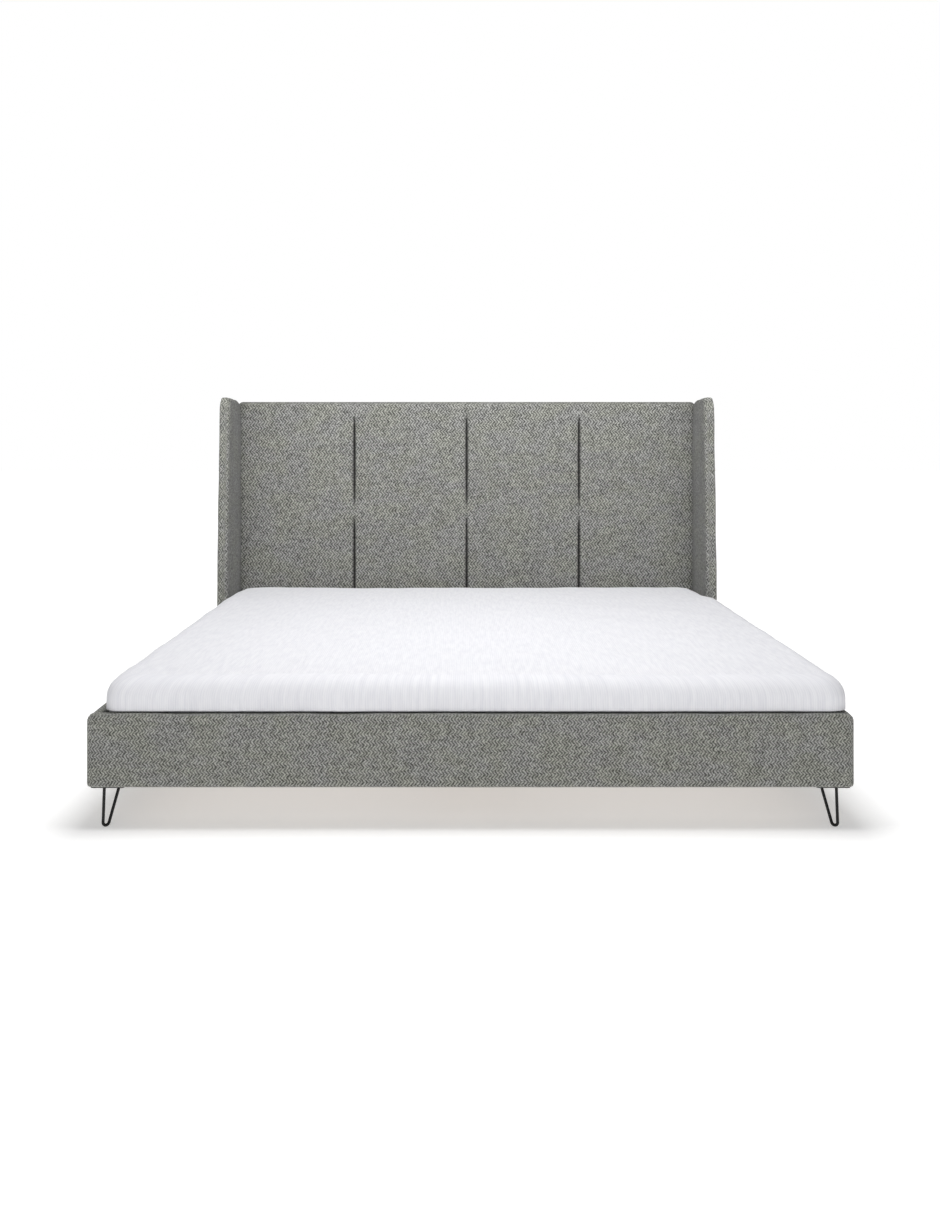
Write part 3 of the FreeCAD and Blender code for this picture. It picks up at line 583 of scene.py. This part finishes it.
def cloth_block(name, lines, fineness=1.0):
    """A closed block whose grid lines lie at the given X, Y and Z places, with its cloth laid."""
    low, high = np.array([v[0] for v in lines]), np.array([v[-1] for v in lines])
    bpy.ops.object.select_all(action="DESELECT")
    bpy.ops.mesh.primitive_cube_add(size=1, location=(low + high) / 2, scale=high - low)
    bpy.ops.object.transform_apply(location=True, rotation=False, scale=True)
    piece = bpy.context.object
    piece.name = piece.data.name = name
    for axis, places in enumerate(lines):
        cut_along(piece.data, axis, places)
    lay_cloth(piece.data, fineness)
    bpy.ops.object.shade_smooth()
    return piece


def lay_cloth(mesh, fineness=1.0):
    """Gives each side of a block its own panel of cloth, in metres, with the warp running up or back."""
    co = mesh_places(mesh)
    corners = np.empty(len(mesh.loops), int)
    mesh.loops.foreach_get("vertex_index", corners)
    normals = np.empty(len(mesh.polygons) * 3)
    mesh.polygons.foreach_get("normal", normals)
    sizes = np.empty(len(mesh.polygons), int)
    mesh.polygons.foreach_get("loop_total", sizes)
    facing = np.repeat(np.abs(normals.reshape(-1, 3)).argmax(1), sizes)
    at = co[corners]
    across = np.where(facing == 0, at[:, 1], at[:, 0])
    up = np.where(facing == 2, at[:, 1], at[:, 2])
    layer = mesh.uv_layers.get("cloth") or mesh.uv_layers.new(name="cloth")
    layer.data.foreach_set("uv", (np.column_stack([across, up]) * fineness).astype(np.float32).ravel())


print("cut lines over a 36 mm edge:", [round(v, 4) for v in spaced(0.0, 0.036, 0.01, edge=0.009)])

# %% [markdown]
# The headboard is foam over a plywood panel, with the tweed drawn over it and stapled behind. Strips of
# the tweed are pulled back through slots in the panel, which makes the eye-shaped slits. A cut through
# the middle of a slit shows the cloth rolling over into a deep narrow valley. So the front of the block
# is pushed in by a valley function: full depth on the slit's line, rounded lips a few centimetres wide,
# and less width towards the two ends. The foam between the slits keeps a slight crown.

# %% Headboard block
HEAD_LOW, HEAD_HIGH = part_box("headboard_cover")
SLIT_X = (-0.477, 0.0, 0.477)
SLIT_UPPER = (0.724, 1.116)  # the heights of its two ends
SLIT_LOWER = (0.294, 0.686)
SLIT_DEPTH = 0.029
SLIT_HALF = 0.0026           # half width of the open eye at its middle
HEAD_WEAVE = 0.82            # fineness of the weave on the headboard and the wings
LIP = 0.0026                 # how far the cloth takes to roll into the slit
SLIT_CUTS = (0.0, 0.002, 0.0038, 0.0055, 0.0072, 0.0095, 0.0125, 0.018, 0.030)   # to each side of a slit
SLIT_END_CUT = 0.008         # above and below each end of a slit

close_x = [x + side * cut for x in SLIT_X for cut in SLIT_CUTS for side in (-1, 1)]
slit_ends = SLIT_UPPER + SLIT_LOWER
close_z = [z + d for z in slit_ends for d in (-SLIT_END_CUT, 0.0, SLIT_END_CUT)]
headboard = cloth_block("headboard_upholstery", [
    spaced(HEAD_LOW.x + 0.001, HEAD_HIGH.x - 0.001, 0.018, close_x, edge=0.022),
    spaced(HEAD_LOW.y, HEAD_HIGH.y - 0.0005, 0.022, edge=0.022),
    spaced(HEAD_LOW.z, HEAD_HIGH.z, 0.014, close_z, edge=0.020)], HEAD_WEAVE)
print("headboard cage", len(headboard.data.polygons), "faces")

# %% [markdown]
# A block of foam has no sharp edge, because the cloth pulls it round. Rounding is done by a distance
# rule: any vertex that lies outside the block shrunk by the radius is drawn back to that radius. It
# works on the whole block at once and leaves the flat parts alone. The foam's crown and the small
# unevenness of hand work are added afterwards, from a smooth step and a seeded field of slow waves.

# %% Rounding and swelling
RIPPLE_WAVES = 9
RIPPLE_RANGE = 3.2           # brings the sum of the waves back to about 1


def round_block(co, low, high, radius, sides=(1, 1, 1, 1, 1, 1)):
    """Draws the vertices outside an inner block back to a radius; sides names the ones that round."""
    low, high = np.array(low), np.array(high)
    inner_low = low + radius * np.array(sides[0::2])
    inner_high = high - radius * np.array(sides[1::2])
    core = np.clip(co, inner_low, inner_high)
    away = co - core
    reach = np.linalg.norm(away, axis=1)
    outside = reach > radius
    co = co.copy()
    co[outside] = core[outside] + away[outside] / reach[outside, None] * radius
    return co


def smooth_step(value, start, end):
    """Eases from 0 at start to 1 at end."""
    share = np.clip((value - start) / (end - start), 0.0, 1.0)
    return share * share * (3 - 2 * share)


def ripples(co, size, seed):
    """A slow random field between about -1 and 1, from a few sine waves; the seed picks the waves."""
    rng = np.random.default_rng(seed)
    field = np.zeros(len(co))
    for _ in range(RIPPLE_WAVES):
        wave = rng.normal(size=3)
        wave /= np.linalg.norm(wave)
        field += np.sin(co @ (wave * rng.uniform(0.6, 1.6) * 2 * math.pi / size) + rng.uniform(0, 6.3))
    return field / RIPPLE_RANGE


print("smooth step half way:", smooth_step(0.5, 0.0, 1.0))

# %% [markdown]
# The slits, the seams and the crown are all moves of the headboard's front face. Each slit pulls the face
# in along its own valley, and a shallow seam runs on the same line to near the top edge. Between the
# lines the foam rises to a slight crown. Painted shadow is written from the same valleys, darkest deep in
# the slits, and more painted shadow is added beside the wings and along the top edge.

# %% Headboard slits and crown
HEAD_ROUND = 0.020
FACE_FROM, FACE_FULL = 0.022, 0.002      # a vertex this far behind the front starts, or fully follows
SEAM_WIDTH, SEAM_DEPTH, SEAM_END = 0.0045, 0.0022, 0.012
HEAD_CROWN, CROWN_REACH = 0.0045, 0.17
WING_LINES = (-0.97, 0.97)               # where the wings hold the foam down
PUCKER, WANDER = 0.0012, 0.0014
CREASE_SHADE, CREASE_WIDTH = 0.55, 0.026
TOP_SHADE, TOP_WIDTH = 0.30, 0.016


def mark_painted_shade(mesh, amount):
    """Writes how much painted shadow each vertex gets, from 0 to 1, for the tweed to read."""
    layer = mesh.attributes.new("painted_shade", "FLOAT", "POINT")
    layer.data.foreach_set("value", np.clip(amount, 0.0, 1.0).astype(np.float32))


def slit_valley(across, along, low, high, half, depth, lip):
    """How far the cloth is pulled in at a distance across a slit and a place along it."""
    share = np.clip((along - low) / (high - low), 0.0, 1.0)
    open_half = half * np.clip(4 * share * (1 - share), 0.0, 1.0) ** 0.8
    inside = (along > low) & (along < high)
    past = np.clip(np.abs(across) - open_half, 0.0, None)
    fall = np.exp(-(past / lip) ** 1.3)
    ends = smooth_step(share, 0.0, 0.10) * smooth_step(1 - share, 0.0, 0.10)
    return np.where(inside, depth * fall * (0.25 + 0.75 * ends) * (open_half > 0), 0.0)


co = round_block(mesh_places(headboard.data), HEAD_LOW, HEAD_HIGH, HEAD_ROUND, (1, 1, 1, 0, 0, 1))
face = smooth_step(-co[:, 1], -HEAD_LOW.y - FACE_FROM, -HEAD_LOW.y - FACE_FULL)
x, z = co[:, 0], co[:, 2]
pull = np.zeros(len(co))
for column in SLIT_X:
    for low, high in (SLIT_UPPER, SLIT_LOWER):
        valley = slit_valley(x - column, z, low, high, SLIT_HALF, SLIT_DEPTH, LIP)
        pull = np.maximum(pull, valley)
    on_seam = (z > SLIT_LOWER[0]) & (z < HEAD_HIGH.z - SEAM_END)
    seam = np.exp(-((x - column) / SEAM_WIDTH) ** 2) * on_seam
    pull = np.maximum(pull, SEAM_DEPTH * seam)
near = np.min([np.abs(x - column) for column in SLIT_X + WING_LINES], axis=0)
crown = HEAD_CROWN * smooth_step(near, 0.0, CROWN_REACH)
pucker = PUCKER * ripples(co, 0.055, 3) * np.exp(-near / 0.035)
wander = WANDER * ripples(co, 0.30, 5)
co[:, 1] += face * (pull - crown - pucker - wander)
set_places(headboard.data, co)
# painted shadow: darker beside the wings and along the top edge, as well as deep in the slits
crease = CREASE_SHADE * np.exp(-(HEAD_HIGH.x - np.abs(x)) / CREASE_WIDTH)
crease = crease + TOP_SHADE * smooth_step(z, HEAD_HIGH.z - TOP_WIDTH, HEAD_HIGH.z)
mark_painted_shade(headboard.data, np.clip(face * (pull / SLIT_DEPTH) ** 1.6, 0, 1) + crease)

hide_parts("headboard_cover", "headboard_foam")
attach(headboard, "frame")
headboard.data.materials.append(TWEED)
print("slits at", SLIT_X)

# %% [markdown]
# A wing is a shaped board with foam on it and a cover sewn from two faces and a boxing strip round the
# edge. Its outline leans back from the side rail to the top. The block that it is made from is sheared
# into that outline: each slice across the wing keeps its share between the back and the leaning front.
# The boxing strip shows as a band between two seams, so a thin groove is pressed in along both. The inner
# face steps in behind the front edge and thickens towards the headboard, where it makes the crease.

# %% Wings
WING_LOW, WING_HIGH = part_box("wing_right_cover")
FRONT_LINE = ((0.762, 0.114), (0.762, 0.305), (0.850, 1.192))    # Y and Z of its foot, bend and peak
BEND_SOFTNESS = 0.03
TOP_HEIGHT, TOP_DROP = 1.187, 0.015
TOP_SLOPE = (0.872, 0.992)               # the places between which the top edge drops
PEAK_ROUND, PEAK_SPAN = 0.030, (1.140, 1.190)
EDGE = 0.009                 # radius of the wing's edges
FACE_SWELL = 0.0035
FRONT_RIM, TOP_RIM = 0.03, 0.975         # shares of depth and height where the boxing strip lies
GROOVE_DEPTH, GROOVE_WIDTH, STRIP_PUFF = 0.0016, 0.0022, 0.0030
INNER_FRONT, INNER_SHOULDER, INNER_CREASE = 0.985, 0.9745, 0.9605    # X of the inner face
SHOULDER = 0.014             # from the front edge back to the shoulder
CREASE_REACH = 0.13          # and from there to the crease
TOP_TILT = 0.009             # how far the top edge drops towards its inner side
INNER_SHADE, CREASE_EXTRA = 0.52, 0.22   # painted shadow on the inner face, and more by the crease


def wing_front(z):
    """Where the wing's front edge lies at a height."""
    foot, bend, peak = FRONT_LINE
    straight = foot[0] + 0 * z
    lean = bend[0] + (z - bend[1]) * (peak[0] - bend[0]) / (peak[1] - bend[1])
    eased = np.logaddexp(0, (lean - straight) / BEND_SOFTNESS) * BEND_SOFTNESS
    return straight + eased - math.log(2) * BEND_SOFTNESS


def wing_top(y):
    """How high the wing's top edge is at a place; it eases down from the front peak to the back."""
    return TOP_HEIGHT - TOP_DROP * smooth_step(y, *TOP_SLOPE)


def puff_wing(co, low, high, middle, half):
    """Swells the two faces, presses in the strip's seams, and returns each vertex's depth and height."""
    share = (co[:, 1] - low[1]) / (high[1] - low[1])
    rise = (co[:, 2] - low[2]) / (high[2] - low[2])
    flat = np.clip(1 - np.abs(co[:, 0] - middle) / half, 0, 1)
    swell = FACE_SWELL * smooth_step(np.minimum(share, 1 - share), 0, 0.25)
    swell = swell * smooth_step(np.minimum(rise, 1 - rise), 0, 0.1)
    co[:, 0] += np.sign(co[:, 0] - middle) * (1 - flat) ** 2 * swell
    band = np.abs(np.abs(co[:, 0] - middle) - (half - EDGE))
    on_rim = (share < FRONT_RIM) | (rise > TOP_RIM)
    groove = GROOVE_DEPTH * np.exp(-(band / GROOVE_WIDTH) ** 2) * on_rim
    puff = STRIP_PUFF * flat ** 0.6 * on_rim
    co[:, 1] += (groove - puff) * (share < FRONT_RIM)
    co[:, 2] -= (groove - puff * 0.5) * (rise > TOP_RIM)
    return share, rise


def lean_wing(co, low, high, share):
    """Shears the block into the wing's outline, and returns how far each vertex lies behind the front."""
    peak = wing_top(low[1] + (high[1] - low[1]) * share)
    co[:, 2] = low[2] + (co[:, 2] - low[2]) * (peak - low[2]) / (high[2] - low[2])
    front = wing_front(co[:, 2])
    corner = PEAK_ROUND * smooth_step(co[:, 2], *PEAK_SPAN) ** 1.6
    depth = (co[:, 1] - low[1]) / (high[1] - low[1])
    co[:, 1] = front + corner + (high[1] - front - corner) * depth
    return co[:, 1] - front


def thicken_wing(co, side, middle, half, behind, rise):
    """Brings the inner face in and tilts the top, and returns how near the inner face each vertex is."""
    to_shoulder = INNER_FRONT + (INNER_SHOULDER - INNER_FRONT) * behind / SHOULDER
    to_crease = INNER_SHOULDER + (INNER_CREASE - INNER_SHOULDER) * (behind - SHOULDER) / CREASE_REACH
    inward = np.clip(np.where(behind < SHOULDER, to_shoulder, to_crease), INNER_CREASE, INNER_FRONT)
    inside = (middle - co[:, 0]) * side / half
    co[:, 2] -= TOP_TILT * smooth_step(inside, -0.5, 1.0) * smooth_step(rise, 0.90, 0.99)
    inside = np.clip(inside, 0, 1)
    co[:, 0] += side * (inward - WING_LOW.x) * inside
    return inside


def wing(name, side):
    """One wing; side is 1 for the right and -1 for the left."""
    low = (min(side * WING_LOW.x, side * WING_HIGH.x), WING_LOW.y, WING_LOW.z)
    high = (max(side * WING_LOW.x, side * WING_HIGH.x), WING_HIGH.y, WING_HIGH.z)
    piece = cloth_block(name, [spaced(low[0], high[0], 0.010, edge=EDGE),
                               spaced(low[1], high[1], 0.014, edge=EDGE),
                               spaced(low[2], high[2], 0.014, edge=EDGE)], HEAD_WEAVE)
    co = round_block(mesh_places(piece.data), low, high, EDGE, (1, 1, 1, 0, 0, 1))
    middle, half = (low[0] + high[0]) / 2, (high[0] - low[0]) / 2
    share, rise = puff_wing(co, low, high, middle, half)
    behind = lean_wing(co, low, high, share)
    inside = thicken_wing(co, side, middle, half, behind, rise)
    co[:, 0] += 0.0009 * ripples(co, 0.22, 7 + side)
    set_places(piece.data, co)
    # painted shadow on the inner face, deeper towards the crease at the headboard
    shade = INNER_SHADE + CREASE_EXTRA * smooth_step(co[:, 1], 0.90, 0.992)
    mark_painted_shade(piece.data, shade * smooth_step(inside, 0.35, 0.9) * smooth_step(behind, 0.004, 0.02))
    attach(piece, "frame")
    piece.data.materials.append(TWEED)
    print(name, len(piece.data.polygons), "faces")
    return piece


wing_left = wing("wing_left_upholstery", -1)
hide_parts("wing_left_cover", "wing_left_foam")
wing_right = wing("wing_right_upholstery", 1)
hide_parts("wing_right_cover", "wing_right_foam")

# %% [markdown]
# The rails are boards with thin foam, wrapped in one width of tweed that is pulled under and stapled.
# The cloth rounds the top edges softly. On a real bed the footboard's cover would be sewn to the side
# rails' at the front corners. No seam is drawn here: the three blocks simply meet.

# %% Rails
RAIL_WEAVE = 1.20            # fineness of the weave on the rails
RAIL_BOW = 0.0016            # how far the faces stand out at mid height
TOP_TURN = 0.020             # radius that the outer top edges are drawn onto


def rail(name, low, high, radius, sides, seed):
    """A padded rail between two corners, rounded on the sides that are named."""
    low, high = tuple(low), tuple(high)
    piece = cloth_block(name, [spaced(low[i], high[i], 0.018, edge=radius) for i in range(3)], RAIL_WEAVE)
    co = round_block(mesh_places(piece.data), low, high, radius, sides)
    long_axis = 0 if high[0] - low[0] > high[1] - low[1] else 1
    thin = 1 - long_axis
    middle = (low[thin] + high[thin]) / 2
    height = (co[:, 2] - low[2]) / (high[2] - low[2])
    lean = np.sign(co[:, thin] - middle) * smooth_step(np.abs(co[:, thin] - middle), 0.004, 0.016)
    co[:, thin] += lean * (RAIL_BOW * 4 * height * (1 - height) + 0.0007 * ripples(co, 0.16, seed))
    crest = smooth_step(height, 0.93, 1.0)
    co[:, 2] += crest * 0.0009 * ripples(co, 0.20, seed + 40)
    set_places(piece.data, co)
    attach(piece, "frame")
    piece.data.materials.append(TWEED)
    print(name, len(piece.data.polygons), "faces")
    return piece


def turn_corner(piece, axes, point, signs, radius):
    """Draws the cloth near one edge of a piece onto a larger curve; point and signs say which edge."""
    co = mesh_places(piece.data)
    axes = list(axes)
    signs = np.array(signs)
    centre = np.array(point) - signs * radius
    away = co[:, axes] - centre
    corner = (away * signs > 0).all(1)
    length = np.maximum(np.linalg.norm(away, axis=1), 1e-6)
    factor = np.where(corner, np.abs(away).max(1) / length, 1.0)
    co[:, axes] = centre + away * factor[:, None]
    set_places(piece.data, co)


for side, sign in (("left", -1), ("right", 1)):
    low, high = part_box(f"side_rail_{side}_cover")
    side_rail = rail(f"side_rail_{side}_upholstery", low, high, 0.006, (1, 1, 0, 0, 1, 1), 11)
    outer_x = sign * max(abs(low.x), abs(high.x))
    turn_corner(side_rail, (0, 2), (outer_x, high.z), (sign, 1), TOP_TURN)
    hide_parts(f"side_rail_{side}_cover", f"side_rail_{side}_foam")

low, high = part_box("footboard_cover")
footboard = rail("footboard_upholstery", low, high, 0.007, (1, 1, 1, 1, 1, 1), 17)
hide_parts("footboard_cover", "footboard_foam")

# %% [markdown]
# The footboard's two ends turn the corner with a radius of about two centimetres in plan, which is more
# than its edges have. The vertices near each end are drawn onto that larger curve, seen from above, and
# the edge rounding goes along with them.

# %% Footboard corners
PLAN_TURN = 0.022            # radius of the corners, seen from above
for sign, end in ((-1, low.x), (1, high.x)):
    turn_corner(footboard, (0, 1), (end, low.y), (sign, -1), PLAN_TURN)
    turn_corner(footboard, (0, 2), (end, high.z), (sign, 1), TOP_TURN)
print("footboard corners turned to", PLAN_TURN, "m")

# %% [markdown]
# The mattress is a knitted cover over foam and springs. It is fuller than the well it stands in: above
# the rails it swells out over them, and between the wings they hold it in. Its top edges round over
# softly, and so do its corners, seen from above. It starts as a block, with its cut lines set close
# together just above the rails, where the swell begins.

# %% Mattress block
MAT_LOW, MAT_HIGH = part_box("mattress")
WING_START = 0.755
RAIL_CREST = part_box("side_rail_left_cover")[1].z
SWELL_LEFT, SWELL_RIGHT = 0.0, 0.029     # it lies lopsided, fuller on the right
SWELL_FOOT = 0.028
TOP_ROUND = 0.056
LOW_ROUND = 0.016
CREST_CUTS = (0.0015, 0.0025, 0.0045, 0.0065, 0.011)     # above the rails

mattress = cloth_block("mattress_body", [
    spaced(MAT_LOW.x, MAT_HIGH.x, 0.024, edge=TOP_ROUND),
    spaced(MAT_LOW.y, MAT_HIGH.y, 0.024, edge=TOP_ROUND),
    spaced(MAT_LOW.z, MAT_HIGH.z, 0.008, [RAIL_CREST + cut for cut in CREST_CUTS], 0.020)])
print("mattress cage", len(mattress.data.polygons), "faces")

# %% [markdown]
# The block's slices are now puffed out by how high they are, with the swell fading where the wings begin.
# The edges are tucked in on quarter circles, the top gets a faint crown, and slow waves keep the knit from
# looking machined. Between the wings and at the headboard the mattress is drawn in, so that it clears them.

# %% Mattress shape
PLAN_ROUND = 0.045
SWELL_GAP, SWELL_RISE = 0.0015, 0.005    # the swell starts this far above the rails, and is full after
SWELL_FADE = (0.14, 0.03)                # it fades between these distances ahead of the wings
TOP_CROWN = 0.002
HEAD_DIP = 0.006                         # the top sinks a little towards the headboard
HELD_IN, HEAD_IN = 0.012, 0.009          # drawn in between the wings, and at the headboard


def plan_round(co, low, high, radius):
    """Rounds the upright edges of a block, seen from above."""
    core = np.clip(co[:, :2], np.array(low[:2]) + radius, np.array(high[:2]) - radius)
    away = co[:, :2] - core
    length = np.linalg.norm(away, axis=1)
    square = np.abs(away).max(1)
    factor = np.where(length > 1e-9, square / np.maximum(length, 1e-9), 1.0)
    out = co.copy()
    out[:, :2] = core + away * factor[:, None]
    return out


def quarter_round(past, radius):
    """How far a rounded edge has drawn in, a distance past the start of its curve."""
    return radius * (1 - np.sqrt(np.clip(1 - (past / radius).clip(0, 1) ** 2, 0, 1)))


co = plan_round(mesh_places(mattress.data), MAT_LOW, MAT_HIGH, PLAN_ROUND)
height = co[:, 2].copy()
half_x, half_y = (MAT_HIGH.x - MAT_LOW.x) / 2, (MAT_HIGH.y - MAT_LOW.y) / 2
mid_y = (MAT_HIGH.y + MAT_LOW.y) / 2
reach_x, reach_y = co[:, 0] / half_x, (co[:, 1] - mid_y) / half_y
edge_top = smooth_step(height, MAT_HIGH.z - TOP_ROUND, MAT_HIGH.z)
tuck_top = quarter_round(height - (MAT_HIGH.z - TOP_ROUND), TOP_ROUND)
tuck_low = quarter_round((MAT_LOW.z + LOW_ROUND) - height, LOW_ROUND)
tuck = tuck_top * 0.9 + tuck_low
belly = np.sqrt(np.clip((height - RAIL_CREST - SWELL_GAP) / SWELL_RISE, 0.0, 1.0))
fade = smooth_step(co[:, 1], WING_START - SWELL_FADE[0], WING_START - SWELL_FADE[1])
belly_side = np.where(co[:, 0] > 0, SWELL_RIGHT, SWELL_LEFT) * belly * (1 - fade)
belly_foot = SWELL_FOOT * belly
co[:, 0] *= 1 + (belly_side - tuck) / half_x
foot_side = smooth_step(-reach_y, 0.6, 1.0)
co[:, 1] = mid_y + (co[:, 1] - mid_y) * (1 - tuck / half_y) - foot_side * belly_foot
crown = TOP_CROWN * smooth_step(1 - np.abs(reach_x), 0.0, 0.30) * smooth_step(1 - np.abs(reach_y), 0.0, 0.30)
co[:, 2] -= HEAD_DIP * edge_top * smooth_step(reach_y, 0.5, 1.0)
co[:, 2] += edge_top * (crown + 0.0016 * ripples(co, 0.45, 21) + 0.0008 * ripples(co, 0.12, 22))
held_in = HELD_IN * smooth_step(co[:, 1], WING_START + 0.035, 0.90) * np.abs(reach_x)
co[:, 0] -= np.sign(reach_x) * held_in
co[:, 1] -= HEAD_IN * smooth_step(reach_y, 0.95, 1.0)
side_face = smooth_step(np.maximum(np.abs(reach_x), np.abs(reach_y)), 0.97, 1.0) * (1 - edge_top)
waves = 0.0011 * ripples(co, 0.20, 23) * side_face * belly
co[:, 0] += np.sign(reach_x) * waves * (np.abs(reach_x) > 0.97)
co[:, 1] += np.sign(reach_y) * waves * (reach_y < -0.97)
set_places(mattress.data, co)
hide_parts("mattress")
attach(mattress, "mattress")
mattress.data.materials.append(KNIT)
print("mattress box", co.min(0).round(4), co.max(0).round(4))

# %% [markdown]
# A thin spun lining is stretched over the back of the headboard and stapled. It is a flat sheet, drawn as
# a thin block with a grid over it, with slow shallow ripples. A real one has a turned hem, which is left
# out here.

# %% Back lining
LINE_LOW, LINE_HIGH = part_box("headboard_back_lining")
LINING_THICK = 0.0012
lining = cloth_block("back_lining_cloth", [
    spaced(LINE_LOW.x, LINE_HIGH.x, 0.040, edge=0.012),
    [LINE_HIGH.y - LINING_THICK, LINE_HIGH.y],
    spaced(LINE_LOW.z, LINE_HIGH.z, 0.040, edge=0.012)])
co = mesh_places(lining.data)
edge = np.minimum(np.minimum(co[:, 0] - LINE_LOW.x, LINE_HIGH.x - co[:, 0]),
                  np.minimum(co[:, 2] - LINE_LOW.z, LINE_HIGH.z - co[:, 2]))
co[:, 1] += 0.0006 * ripples(co, 0.30, 31) * smooth_step(edge, 0.0, 0.05) - 0.0006
set_places(lining.data, co)
lining.data.materials.append(LINING)
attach(lining, "frame")
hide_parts("headboard_back_lining")

# %% [markdown]
# Staples hold the lining all round its edge, every eight centimetres. One is made from a cube with its
# edges bevelled, and copied to each place, turned upright along the two sides. The copies are then joined.

# %% Staples
STAPLE_STEP = 0.080
STAPLE_SIZE = (0.010, 0.0009, 0.0012)
STAPLE_INSET = 0.007         # from the lining's edge
bpy.ops.object.select_all(action="DESELECT")
bpy.ops.mesh.primitive_cube_add(size=1, scale=STAPLE_SIZE, location=(0, 0, 0))
bpy.ops.object.transform_apply(location=True, rotation=False, scale=True)
staple = bpy.context.object
staple.name = "lining_staples"
bpy.ops.object.mode_set(mode="EDIT")
bpy.ops.mesh.select_all(action="SELECT")
bpy.ops.mesh.bevel(offset=0.0003, segments=1)
bpy.ops.object.mode_set(mode="OBJECT")
staple.data.materials.append(ZINC)
spots = []
for x in np.arange(LINE_LOW.x + 0.03, LINE_HIGH.x - 0.02, STAPLE_STEP):
    spots += [(x, LINE_LOW.z + STAPLE_INSET, 0), (x, LINE_HIGH.z - STAPLE_INSET, 0)]
for z in np.arange(LINE_LOW.z + 0.04, LINE_HIGH.z - 0.03, STAPLE_STEP):
    spots += [(LINE_LOW.x + STAPLE_INSET, z, 90), (LINE_HIGH.x - STAPLE_INSET, z, 90)]
for x, z, turn in spots[1:]:
    other = staple.copy()
    other.data = staple.data.copy()
    bpy.context.collection.objects.link(other)
    turned = Matrix.Rotation(math.radians(turn), 4, "Y")
    other.data.transform(Matrix.Translation((x, LINE_HIGH.y, z)) @ turned)
    other.select_set(True)
staple.data.transform(Matrix.Translation((spots[0][0], LINE_HIGH.y, spots[0][1])))
staple.select_set(True)
bpy.context.view_layer.objects.active = staple
bpy.ops.object.join()
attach(staple, "frame")
print(len(spots), "staples")
